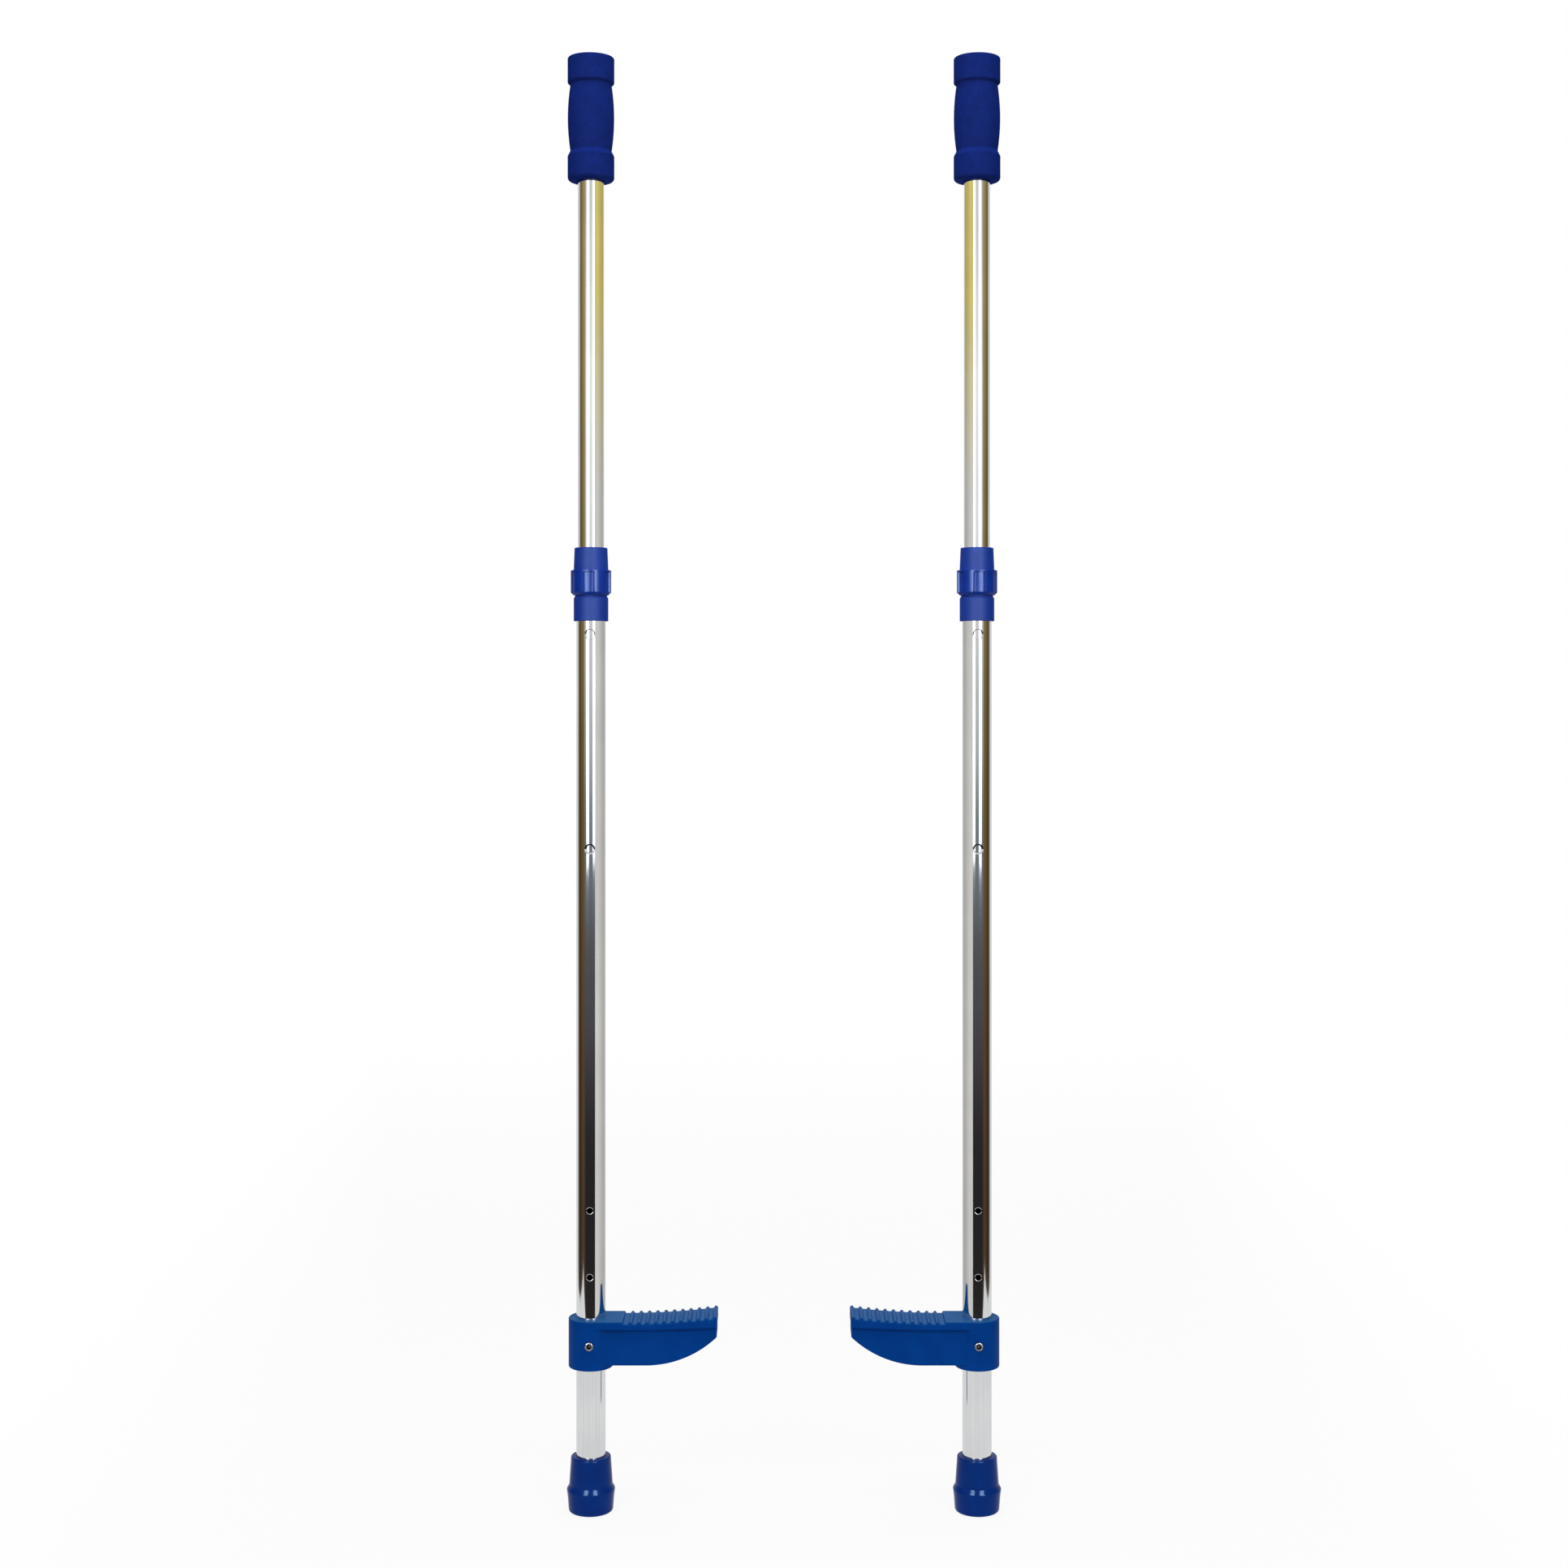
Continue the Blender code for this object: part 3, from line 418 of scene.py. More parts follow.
# footrest: collar on the tube, ribbed tread, hollow arm under it
restSettings = {
    "top": 185.0, "collar": 21.3, "collarLow": 138.1, "collarEdge": 1.2, "bore": 14.05,
    "half": 21.0, "tip": 121.0, "edge": 1.2, "treadCurve": 720.0,
    "lip": 177.4, "lipCurve": 1600.0, "lipSteps": 8,
    "flatEnd": 32.3, "step": 1.9, "stepBack": 1.3, "stepEnd": 0.3, "stepShoulder": (0.8, 0.25),
    "stepFoot": (0.2, 0.2),
    "ribs": 11, "ribPitch": 8.0, "ribWidth": 4.2, "ribHeight": 2.0, "ribRound": 0.8, "ribSteps": 10,
    "armHalf": 16.5, "armLow": 142.6, "armTip": 120.6, "armTipLow": 169.4, "armTop": 180.2, "armEdge": 0.8,
    "belly": 98.0, "bellySteps": 24,
    "fillet": 12.0, "filletSink": 0.15, "filletIn": 2.0, "filletEdge": 0.05, "filletSteps": 8,
    "skin": 4.0, "wall": 3.0, "web": 2.4,
    "pockets": 3, "pocketEdge": 0.6, "pocketBelow": 10.0, "pocketSteps": 4,
    "cutLength": 80.0, "boltHole": 3.3, "headHole": 4.3, "headDeep": 2.2, "nutHole": 6.12, "nutDeep": 3.5,
}


def treadUp(size, along):
    return size["top"] - size["step"] + max(0.0, along - size["flatEnd"]) ** 2 / (2 * size["treadCurve"])


def treadOutline(size):
    flatEnd, top, ground = size["flatEnd"], size["top"], treadUp(size, size["flatEnd"])
    shoulderBack, shoulderDrop = size["stepShoulder"]
    footBack, footRise = size["stepFoot"]
    points = [
        (0, top), (flatEnd - size["stepBack"], top), (flatEnd - shoulderBack, top - shoulderDrop),
        (flatEnd - footBack, ground + footRise), (flatEnd + size["stepEnd"], ground),
    ]
    lastRib = size["tip"] - size["ribWidth"] / 2
    for rib in reversed(range(size["ribs"])):
        middle = lastRib - rib * size["ribPitch"]
        for i in range(size["ribSteps"] + 1):
            share = i / size["ribSteps"] - 0.5
            along = middle + share * size["ribWidth"]
            bump = size["ribHeight"] * math.cos(math.pi * share) ** size["ribRound"]
            points.append((along, treadUp(size, along) + bump))
    for i in range(size["lipSteps"] + 1):
        along = size["tip"] + (flatEnd - size["tip"]) * i / size["lipSteps"]
        points.append((along, size["lip"] + max(0.0, along - flatEnd) ** 2 / (2 * size["lipCurve"])))
    points.append((0, size["lip"]))
    return points


def armOutline(size):
    low, belly = size["armLow"], size["belly"]
    rise = size["armTipLow"] - low
    start = size["armTip"] - math.sqrt(2 * belly * rise - rise ** 2)
    swing = math.degrees(math.acos(1 - rise / belly))
    points = [(0, low)] + arcPoints(start, low + belly, belly, -90, swing - 90, size["bellySteps"])
    return points + [(size["armTip"], size["armTop"]), (0, size["armTop"])]


def filletOutline(size):
    # plan of the soft corner between collar and arm, from just inside the collar
    collar, radius, side = size["collar"] - size["filletSink"], size["fillet"], -size["armHalf"]
    arcY = side - radius
    arcX = math.sqrt((collar + radius) ** 2 - arcY ** 2)
    start = math.degrees(math.atan2(-arcY, -arcX))
    arc = arcPoints(arcX, arcY, radius, start, 90, size["filletSteps"])
    return [(0, side + size["filletIn"]), (0, side)] + arc + [(arcX, side + size["filletIn"])]


def makeFootrest(size):
    place = (axisX, 0, 0)
    rest = cutSheet("left_footrest_shell", treadOutline(size), size["half"], size["edge"], True, place)
    combine(rest, cutSheet("arm", armOutline(size), size["armHalf"], size["armEdge"], True, place), "UNION")
    collar, collarLow, collarEdge = size["collar"], size["collarLow"], size["collarEdge"]
    collarCorners = [
        (poleRadius, size["top"], 0), (collar, size["top"], collarEdge),
        (collar, collarLow, collarEdge), (poleRadius, collarLow, 0),
    ]
    combine(rest, turnRings("collar", collarCorners, 0.0), "UNION")
    low, high = size["armLow"] + size["armEdge"], size["armTop"]
    for hand in (1, -1):
        outline = [(along, hand * across) for along, across in filletOutline(size)]
        centre = (axisX, 0, (low + high) / 2 * mm)
        corner = cutSheet("corner", outline, (high - low) / 2, size["filletEdge"], False, centre)
        combine(rest, corner, "UNION")
    # two rows of hollows with webs between them, open underneath
    web = size["web"]
    first = collar + web
    last = size["armTip"] - size["wall"]
    length = (last - first - (size["pockets"] - 1) * web) / size["pockets"]
    halfWidth = (size["armHalf"] - size["wall"] - web / 2) / 2
    below = size["armLow"] - size["pocketBelow"]
    for pocket in range(size["pockets"]):
        start = first + pocket * (length + web)
        outline = [(start, below), (start + length, below)]
        for i in range(size["pocketSteps"] + 1):
            along = start + length * (1 - i / size["pocketSteps"])
            outline.append((along, treadUp(size, along) - size["skin"]))
        for hand in (-1, 1):
            side = (axisX, hand * (halfWidth + web / 2) * mm, 0)
            hollow = cutSheet("pocket", outline, halfWidth, size["pocketEdge"], True, side)
            combine(rest, hollow, "DIFFERENCE")
    # bore for the tube, and the bolt's hole with recesses for its head and its nut
    middle = (size["top"] + collarLow) / 2 * mm
    front, back, boltZ = -collar * mm, collar * mm, boltUp * mm
    tools = [
        addRod(size["bore"], size["cutLength"], (axisX, 0, middle), roundSteps, False),
        addRod(size["boltHole"], size["cutLength"], (axisX, 0, boltZ)),
        addRod(size["headHole"], 2 * size["headDeep"], (axisX, front, boltZ)),
        addRod(size["nutHole"], 2 * size["nutDeep"], (axisX, back, boltZ), hexagonSides),
    ]
    for tool in tools:
        combine(rest, tool, "DIFFERENCE")
    mergeDoubles(rest)
    return rest


# footrest bolt with a hexagon socket, and its nut; both are made upright and then laid along Y
boltSettings = {
    "head": 4.05, "headUp": 23.4, "headEdge": 0.6, "seat": 19.4, "seatEdge": 0.15,
    "shank": 3.0, "end": -23.4, "endEdge": 0.5, "socket": 2.6, "socketDeep": 3.0,
    "drillDeep": 2.4, "drillShare": 0.85, "drillOverlap": 0.05, "drillSteps": 24,
    "nutCorner": 5.77, "nutFlat": 4.75, "nutSlope": 0.76, "nutMargin": 0.3, "nutLow": 18.1, "nutHigh": 23.1,
    "nutHole": 3.3, "nutCut": 40.0,
}


def makeBolt(size):
    corners = [
        (smallPole, size["headUp"], 0),
        (size["head"], size["headUp"], size["headEdge"]),
        (size["head"], size["seat"], size["seatEdge"]),
        (size["shank"], size["seat"], size["seatEdge"]),
        (size["shank"], size["end"], size["endEdge"]),
        (smallPole, size["end"], 0),
    ]
    bolt = turnRings("left_socket_bolt", corners, 0.0, smallSteps, centreX=0.0)
    socket = addRod(size["socket"], 2 * size["socketDeep"], (0, 0, size["headUp"] * mm), hexagonSides, False)
    combine(bolt, socket, "DIFFERENCE")
    # the drill leaves a cone at the bottom of the socket
    coneUp = size["headUp"] - size["socketDeep"] - size["drillDeep"] / 2 + size["drillOverlap"]
    bpy.ops.object.select_all(action="DESELECT")
    bpy.ops.mesh.primitive_cone_add(
        vertices=size["drillSteps"], radius1=0, radius2=size["drillShare"] * size["socket"] * mm,
        depth=size["drillDeep"] * mm, location=(0, 0, coneUp * mm),
    )
    combine(bolt, bpy.context.object, "DIFFERENCE")
    return layAlongY(bolt, boltUp * mm)


def makeBoltNut(size):
    low, high, slope = size["nutLow"], size["nutHigh"], size["nutSlope"]
    middle = -(low + high) / 2 * mm
    nut = addRod(size["nutCorner"], high - low, (0, 0, middle), hexagonSides, False)
    nut.name = "left_hex_nut"
    # the corners are turned off at both ends
    outside = size["nutCorner"] + size["nutMargin"]
    barrel = [
        (smallPole, -low, 0), (size["nutFlat"], -low, 0), (outside, -low - slope, 0),
        (outside, -high + slope, 0), (size["nutFlat"], -high, 0), (smallPole, -high, 0),
    ]
    combine(nut, turnRings("barrel", barrel, 0.0, smallSteps, centreX=0.0), "INTERSECT")
    combine(nut, addRod(size["nutHole"], size["nutCut"], (0, 0, middle), alongY=False), "DIFFERENCE")
    mergeDoubles(nut)
    return layAlongY(nut, boltUp * mm)


# materials

def toLinear(hexColour):
    channels = [int(hexColour[i:i + 2], 16) / 255 for i in (0, 2, 4)]
    return tuple(c / 12.92 if c <= 0.04045 else ((c + 0.055) / 1.055) ** 2.4 for c in channels) + (1.0,)


def addNode(tree, kind, links=None, values=None, stops=(), **settings):
    node = tree.nodes.new(kind)
    for name, value in settings.items():
        setattr(node, name, value)
    for socket, value in (values or {}).items():
        node.inputs[socket].default_value = value
    for socket, source in (links or {}).items():
        tree.links.new(source, node.inputs[socket])
    elements = node.color_ramp.elements if stops else []
    while len(elements) < len(stops):
        elements.new(0.5)
    for element, (position, colour) in zip(elements, stops):
        element.position = position
        element.color = toLinear(colour)
    return node


def perMetre(sizeMm):
    return 1 / (sizeMm * mm)


def startMaterial(name, **shaderValues):
    material = bpy.data.materials.new(name)
    material.use_nodes = True
    tree = material.node_tree
    shader = tree.nodes["Principled BSDF"]
    for socket, value in shaderValues.items():
        shader.inputs[socket.replace("_", " ")].default_value = value
    place = addNode(tree, "ShaderNodeTexCoord").outputs["Object"]
    return material, tree, shader, place


def makeAluminium():
    # drawn aluminium tube, polished along its length: mirror-bright, with faint lines and dull patches
    settings = {
        "clean": "eceded", "dull": "dfe0e2", "roughClean": 0.045, "roughDull": 0.085,
        "lineWidth": 1.6, "lineLength": 180.0, "patch": 45.0,
    }
    material, tree, shader, place = startMaterial("polished drawn aluminium", Metallic=1.0)
    # drawing lines are about 0.1 mm wide, drawn wider here so that they show
    across, along = perMetre(settings["lineWidth"]), perMetre(settings["lineLength"])
    stretch = addNode(tree, "ShaderNodeMapping", {"Vector": place}, {"Scale": (across, across, along)})
    lines = addNode(
        tree, "ShaderNodeTexNoise", {"Vector": stretch.outputs["Vector"]}, {"Scale": 1.0, "Detail": 4.0}
    )
    patches = addNode(
        tree, "ShaderNodeTexNoise", {"Vector": place},
        {"Scale": perMetre(settings["patch"]), "Detail": 3.0},
    )
    blend = addNode(
        tree, "ShaderNodeMath", {0: lines.outputs["Fac"], 1: patches.outputs["Fac"]}, operation="MULTIPLY"
    )
    colour = addNode(
        tree, "ShaderNodeValToRGB", {"Fac": blend.outputs["Value"]},
        stops=[(0.12, settings["dull"]), (0.42, settings["clean"])],
    )
    rough = addNode(
        tree, "ShaderNodeMapRange", {"Value": blend.outputs["Value"]},
        {
            "From Min": 0.1, "From Max": 0.45,
            "To Min": settings["roughDull"], "To Max": settings["roughClean"],
        },
    )
    tree.links.new(colour.outputs["Color"], shader.inputs["Base Color"])
    tree.links.new(rough.outputs["Result"], shader.inputs["Roughness"])
    return material


def makeMoulded(name, settings):
    # moulded piece: a fine grain from the mould and slow shifts of shade from the flow
    material, tree, shader, place = startMaterial(
        name, Metallic=0.0, IOR=settings["ior"], Specular_IOR_Level=settings["specular"],
        Specular_Tint=toLinear(settings["sheen"]),
    )
    flow = addNode(
        tree, "ShaderNodeTexNoise", {"Vector": place},
        {"Scale": perMetre(settings["flow"]), "Detail": 2.0},
    )
    grain = addNode(
        tree, "ShaderNodeTexNoise", {"Vector": place},
        {"Scale": perMetre(settings["grain"]), "Detail": 3.0, "Roughness": 0.6},
    )
    colour = addNode(
        tree, "ShaderNodeValToRGB", {"Fac": flow.outputs["Fac"]},
        stops=[(0.3, settings["dark"]), (0.7, settings["light"])],
    ).outputs["Color"]
    if "wornAndToplit" in settings:
        # upward faces are painted paler: partly worn by shoes, partly painted light falling from above
        height = addNode(tree, "ShaderNodeSeparateXYZ", {"Vector": place}).outputs["Z"]
        normal = addNode(tree, "ShaderNodeNewGeometry").outputs["Normal"]
        facing = addNode(tree, "ShaderNodeSeparateXYZ", {"Vector": normal}).outputs["Z"]
        upward = addNode(
            tree, "ShaderNodeMapRange", {"Value": facing}, {"From Min": 0.1, "From Max": 0.9},
            interpolation_type="SMOOTHSTEP",
        )
        above = addNode(
            tree, "ShaderNodeMath", {0: height}, {1: settings["wornAndToplitAbove"] * mm}, operation="GREATER_THAN"
        )
        share = addNode(
            tree, "ShaderNodeMath", {0: upward.outputs["Result"], 1: above.outputs["Value"]},
            operation="MULTIPLY",
        )
        colour = addNode(
            tree, "ShaderNodeMix", {0: share.outputs["Value"], 6: colour},
            {7: toLinear(settings["wornAndToplit"])}, data_type="RGBA",
        ).outputs[2]
    rough = addNode(
        tree, "ShaderNodeMapRange", {"Value": grain.outputs["Fac"]},
        {
            "From Min": 0.3, "From Max": 0.7,
            "To Min": settings["roughLow"], "To Max": settings["roughHigh"],
        },
    ).outputs["Result"]
    if "polished" in settings:
        # one band of the piece is polished, the rest keeps its satin skin
        low, high = settings["polished"]
        height = addNode(tree, "ShaderNodeSeparateXYZ", {"Vector": place}).outputs["Z"]
        inside = addNode(
            tree, "ShaderNodeMath", {0: height}, {1: (low + high) / 2, 2: (high - low) / 2},
            operation="COMPARE",
        )
        polish = addNode(
            tree, "ShaderNodeMapRange", {"Value": inside.outputs["Value"]},
            {"To Min": 1.0, "To Max": settings["polish"]},
        )
        rough = addNode(
            tree, "ShaderNodeMath", {0: rough, 1: polish.outputs["Result"]}, operation="MULTIPLY"
        ).outputs["Value"]
    bump = addNode(
        tree, "ShaderNodeBump", {"Height": grain.outputs["Fac"]},
        {"Strength": settings["bump"], "Distance": settings["grainDepth"] * mm},
    )
    tree.links.new(colour, shader.inputs["Base Color"])
    tree.links.new(rough, shader.inputs["Roughness"])
    tree.links.new(bump.outputs["Normal"], shader.inputs["Normal"])
    return material


def makeFoam():
    # closed-cell rubber foam: dull all over, with a skin of tiny cells
    settings = {
        "dark": "072271", "light": "0a2b88", "cell": 1.1, "cellDepth": 0.12, "bump": 0.35, "mottle": 9.0,
    }
    material, tree, shader, place = startMaterial(
        "closed cell foam", Metallic=0.0, Roughness=0.85, IOR=1.45, Specular_IOR_Level=0.03
    )
    # cells are about 0.3 mm, drawn larger here so that they show
    cells = addNode(
        tree, "ShaderNodeTexVoronoi", {"Vector": place}, {"Scale": perMetre(settings["cell"])}, feature="F1"
    )
    mottle = addNode(
        tree, "ShaderNodeTexNoise", {"Vector": place},
        {"Scale": perMetre(settings["mottle"]), "Detail": 4.0},
    )
    mix = addNode(
        tree, "ShaderNodeMath", {0: mottle.outputs["Fac"], 1: cells.outputs["Distance"]},
        operation="MULTIPLY",
    )
    shade = addNode(
        tree, "ShaderNodeValToRGB", {"Fac": mix.outputs["Value"]},
        stops=[(0.05, settings["dark"]), (0.4, settings["light"])],
    )
    bump = addNode(
        tree, "ShaderNodeBump", {"Height": cells.outputs["Distance"]},
        {"Strength": settings["bump"], "Distance": settings["cellDepth"] * mm},
    )
    tree.links.new(shade.outputs["Color"], shader.inputs["Base Color"])
    tree.links.new(bump.outputs["Normal"], shader.inputs["Normal"])
    return material


def makeZinc():
    # zinc plated steel: a dull grey metal with small cloudy crystals
    settings = {
        # the dark colour is painted shade inside the bolt's hex socket
        "dark": "62656c", "light": "868990", "socketShade": "1c1815", "recessBelow": 0.2,
        "crystal": 1.5, "roughLow": 0.22, "roughHigh": 0.36,
    }
    material, tree, shader, place = startMaterial("zinc plated steel", Metallic=1.0)
    crystals = addNode(
        tree, "ShaderNodeTexNoise", {"Vector": place},
        {"Scale": perMetre(settings["crystal"]), "Detail": 3.0},
    )
    shade = addNode(
        tree, "ShaderNodeValToRGB", {"Fac": crystals.outputs["Fac"]},
        stops=[(0.0, settings["dark"]), (1.0, settings["light"])],
    )
    rough = addNode(
        tree, "ShaderNodeMapRange", {"Value": crystals.outputs["Fac"]},
        {
            "From Min": 0.3, "From Max": 0.7,
            "To Min": settings["roughLow"], "To Max": settings["roughHigh"],
        },
    )
    # the bolt's hex socket is painted dark: painted shade inside it
    fromAxis = addNode(tree, "ShaderNodeVectorMath", {0: place}, operation="ABSOLUTE")
    fromAxis = addNode(
        tree, "ShaderNodeVectorMath", {0: fromAxis.outputs["Vector"]},
        {1: (1, 0, 1), 2: (axisX, 0, -boltUp * mm)}, operation="MULTIPLY_ADD",
    )
    away = addNode(tree, "ShaderNodeVectorMath", {0: fromAxis.outputs["Vector"]}, operation="LENGTH")
    outside = addNode(
        tree, "ShaderNodeMath", {0: away.outputs["Value"]}, {1: boltSettings["socket"] * mm},
        operation="GREATER_THAN",
    )
    depth = addNode(tree, "ShaderNodeSeparateXYZ", {"Vector": place}).outputs["Y"]
    recessFront = (settings["recessBelow"] - boltSettings["headUp"]) * mm
    proud = addNode(tree, "ShaderNodeMath", {0: depth}, {1: recessFront}, operation="LESS_THAN")
    # 1 where the bare metal shows, 0 inside the socket where the painted shade goes
    plated = addNode(
        tree, "ShaderNodeMath", {0: outside.outputs["Value"], 1: proud.outputs["Value"]},
        operation="MAXIMUM",
    )
    colour = addNode(
        tree, "ShaderNodeMix", {0: plated.outputs["Value"], 7: shade.outputs["Color"]},
        {6: toLinear(settings["socketShade"])}, data_type="RGBA",
    )
    tree.links.new(colour.outputs[2], shader.inputs["Base Color"])
    tree.links.new(rough.outputs["Result"], shader.inputs["Roughness"])
    return material


# heights between which the lock nut is polished: its ring, with a little to spare at both ends
nutLow = bottomOf("lock_nut")
ringBand = (nutLow - 0.1 * mm, nutLow + (lockSettings["ringTop"] + 0.2) * mm)
materials = {
    "tube": makeAluminium(),
    "steel": makeZinc(),
    "grip": makeFoam(),
    # acetal, moulded with a satin skin and polished on the fluted ring
    "lock": makeMoulded("moulded acetal", {
        "dark": "0835a4", "light": "0a3bae", "flow": 14.0, "grain": 0.8, "grainDepth": 0.02, "bump": 0.15,
        "roughLow": 0.55, "roughHigh": 0.61, "ior": 1.48, "specular": 0.145, "sheen": "c8e0ff",
        "polished": ringBand, "polish": 0.52,
    }),
    # polypropylene, moulded in a spark-eroded tool: even blue with a satin skin
    "footrest": makeMoulded("moulded polypropylene", {
        "dark": "003c8e", "light": "004398", "flow": 22.0, "grain": 0.9, "grainDepth": 0.03, "bump": 0.2,
        "roughLow": 0.36, "roughHigh": 0.46, "ior": 1.49, "specular": 0.032, "sheen": "c0e8ff",
        # the paler colour of upward faces is partly wear, partly painted light from above
        "wornAndToplit": "145694", "wornAndToplitAbove": 180.0,
    }),
    # vulcanised rubber: dark blue, soft sheen and a slightly uneven skin
    "rubber": makeMoulded("vulcanised rubber", {
        "dark": "042a76", "light": "04307e", "flow": 11.0, "grain": 1.1, "grainDepth": 0.04, "bump": 0.25,
        "roughLow": 0.11, "roughHigh": 0.17, "ior": 1.52, "specular": 0.1, "sheen": "b0d8ff",
    }),
    # glass filled nylon: matt black with a fine grain
    "bush": makeMoulded("glass filled nylon", {
        "dark": "17181a", "light": "222326", "flow": 8.0, "grain": 0.7, "grainDepth": 0.03, "bump": 0.25,
        "roughLow": 0.45, "roughHigh": 0.6, "ior": 1.53, "specular": 0.5, "sheen": "ffffff",
    }),
}
print("materials made:", len(materials))


def mirrorPiece(piece, name):
    makeActive(piece)
    bpy.ops.object.duplicate(linked=False)
    twin = bpy.context.object
    twin.name = name
    twin.scale.x = -1
    bpy.ops.object.transform_apply(location=True, rotation=True, scale=True)
    mergeDoubles(twin)
    return twin


# a shiny slot needs less light in its reflections than a dull one; other slots use the last power
shinePower = {"tube": 9.5, "footrest": 95.0, "moulded": 252.0}
shinePieces = {slot: bpy.data.collections.new(slot + " shine") for slot in shinePower}


def addShine(piece, slot):
    shinePieces[slot if slot in shinePieces else "moulded"].objects.link(piece)


# an edge that turns by more degrees than this stays crisp; the tubes' dished holes need a lower limit
smoothBelow = 32.0
smoothBelowFor = {"tube": 12.0}


def finishPiece(piece, body, node, slot):
    piece.data.materials.clear()
    piece.data.materials.append(materials[slot])
    makeActive(piece)
    bpy.ops.object.shade_smooth_by_angle(angle=math.radians(smoothBelowFor.get(slot, smoothBelow)))
    useModifier(piece, "WEIGHTED_NORMAL", keep_sharp=True, weight=80)
    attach(piece, body)
    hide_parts(node)
    addShine(piece, slot)


makers = [
    (makeFoot, footSettings, "stilt", "rubber_foot", "rubber"),
    (makeLowerTube, tubeSettings, "stilt", "lower_tube", "tube"),
    (makeFootrest, restSettings, "stilt", "footrest", "footrest"),
    (makeBolt, boltSettings, "stilt", "footrest_bolt", "steel"),
    (makeBoltNut, boltSettings, "stilt", "footrest_nut", "steel"),
    (makeLockSleeve, lockSettings, "stilt", "lock_body", "lock"),
    (makeLockNut, lockSettings, "nut", "lock_nut", "lock"),
    (makeUpperTube, tubeSettings, "slider", "upper_tube", "tube"),
    (makeGrip, gripSettings, "slider", "hand_grip", "grip"),
]
for make, settings, body, node, slot in makers:
    leftPiece = make(settings)
    rightPiece = mirrorPiece(leftPiece, leftPiece.name.replace("left_", "right_"))
    for side, piece in (("left", leftPiece), ("right", rightPiece)):
        finishPiece(piece, side + "_" + body, side + "_" + node, slot)
    print("modelled", leftPiece.name, "faces:", len(leftPiece.data.polygons))

# pieces out of sight keep their solids and get a finish of their own
hiddenNodes = {"foot_disc": "steel", "lock_collet": "bush", "guide_bush": "bush", "tube_cap": "bush"}
for node, slot in hiddenNodes.items():
    for side in ("left_", "right_"):
        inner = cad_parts[side + node]
        inner.data.materials.clear()
        inner.data.materials.append(materials[slot])
        addShine(inner, slot)
print("hidden pieces finished:", 2 * len(hiddenNodes))

# pale studio floor, which fades into the white of the room; from here on sizes are in metres
floorSettings = {
    "halfWide": 0.98, "front": -0.54, "back": 3.4, "drop": 0.0005, "colour": "f4f4f4", "white": "ffffff",
    "glow": 0.9, "mirrored": 0.8,
    "fadeSide": (0.42, 0.95), "fadeFront": (-0.1, -0.52), "fadeBack": (0.3, 3.2),
}


def makeFloor(setup):
    bpy.ops.object.select_all(action="DESELECT")
    bpy.ops.mesh.primitive_plane_add(size=1)
    floor = bpy.context.object
    floor.name = "studio_floor"
    floor.scale = (2 * setup["halfWide"], setup["back"] - setup["front"], 1)
    floor.location = (0, (setup["back"] + setup["front"]) / 2, -setup["drop"])
    bpy.ops.object.transform_apply(location=True, rotation=True, scale=True)
    material, tree, shader, place = startMaterial("pale paper", Roughness=0.9)
    shader.inputs["Base Color"].default_value = toLinear(setup["colour"])
    # the paper turns into the white of the room towards its edges
    parts = addNode(tree, "ShaderNodeSeparateXYZ", {"Vector": place})
    sideways = addNode(tree, "ShaderNodeMath", {0: parts.outputs["X"]}, operation="ABSOLUTE")
    depth = parts.outputs["Y"]
    fades = {"fadeSide": sideways.outputs["Value"], "fadeFront": depth, "fadeBack": depth}
    most = None
    for fade, source in fades.items():
        clear, faded = setup[fade]
        level = addNode(
            tree, "ShaderNodeMapRange", {"Value": source},
            {"From Min": clear, "From Max": faded, "To Min": setup["glow"]},
            interpolation_type="SMOOTHSTEP",
        ).outputs["Result"]
        if most:
            larger = addNode(tree, "ShaderNodeMath", {0: most, 1: level}, operation="MAXIMUM")
            level = larger.outputs["Value"]
        most = level
    rays = addNode(tree, "ShaderNodeLightPath")
    dimmed = addNode(
        tree, "ShaderNodeMapRange", {"Value": rays.outputs["Is Glossy Ray"]},
        {"To Min": 1.0, "To Max": setup["mirrored"]},
    )
    white = toLinear(setup["white"])
    glow = addNode(tree, "ShaderNodeEmission", {"Strength": dimmed.outputs["Result"]}, {"Color": white})
    mix = addNode(
        tree, "ShaderNodeMixShader", {0: most, 1: shader.outputs["BSDF"], 2: glow.outputs["Emission"]}
    )
    tree.links.new(mix.outputs["Shader"], tree.nodes["Material Output"].inputs["Surface"])
    floor.data.materials.append(material)


makeFloor(floorSettings)

# camera at the photograph's height and distance; level, with the frame shifted down to take in the feet
cameraSettings = {
    "height": 0.772, "distance": 2.157, "frameMiddle": 0.694, "focalPixels": 2780.0, "framePixels": 1932.0,
}


def placeCamera(setup):
    data = bpy.data.cameras.new("camera")
    data.angle = 2 * math.atan(setup["framePixels"] / 2 / setup["focalPixels"])
    drop = (setup["height"] - setup["frameMiddle"]) / setup["distance"]
    data.shift_y = -drop * setup["focalPixels"] / setup["framePixels"]
    camera = bpy.data.objects.new("camera", data)
    camera.location = (0, -setup["distance"], setup["height"])
    camera.rotation_euler = (math.pi / 2, 0, 0)
    bpy.context.collection.objects.link(camera)
    bpy.context.scene.camera = camera


placeCamera(cameraSettings)

# pale glowing board between the stilts, which only their reflections see: a painted reflection, grey low
# down, yellowish high up
boardSettings = {
    "deep": 0.5, "low": 0.1, "high": 1.5, "grey": "dcdad6", "yellow": "e4d47c", "yellowFrom": (0.985, 1.2),
    "dimFrom": (-0.1, 0.06), "rear": 0.7,
}


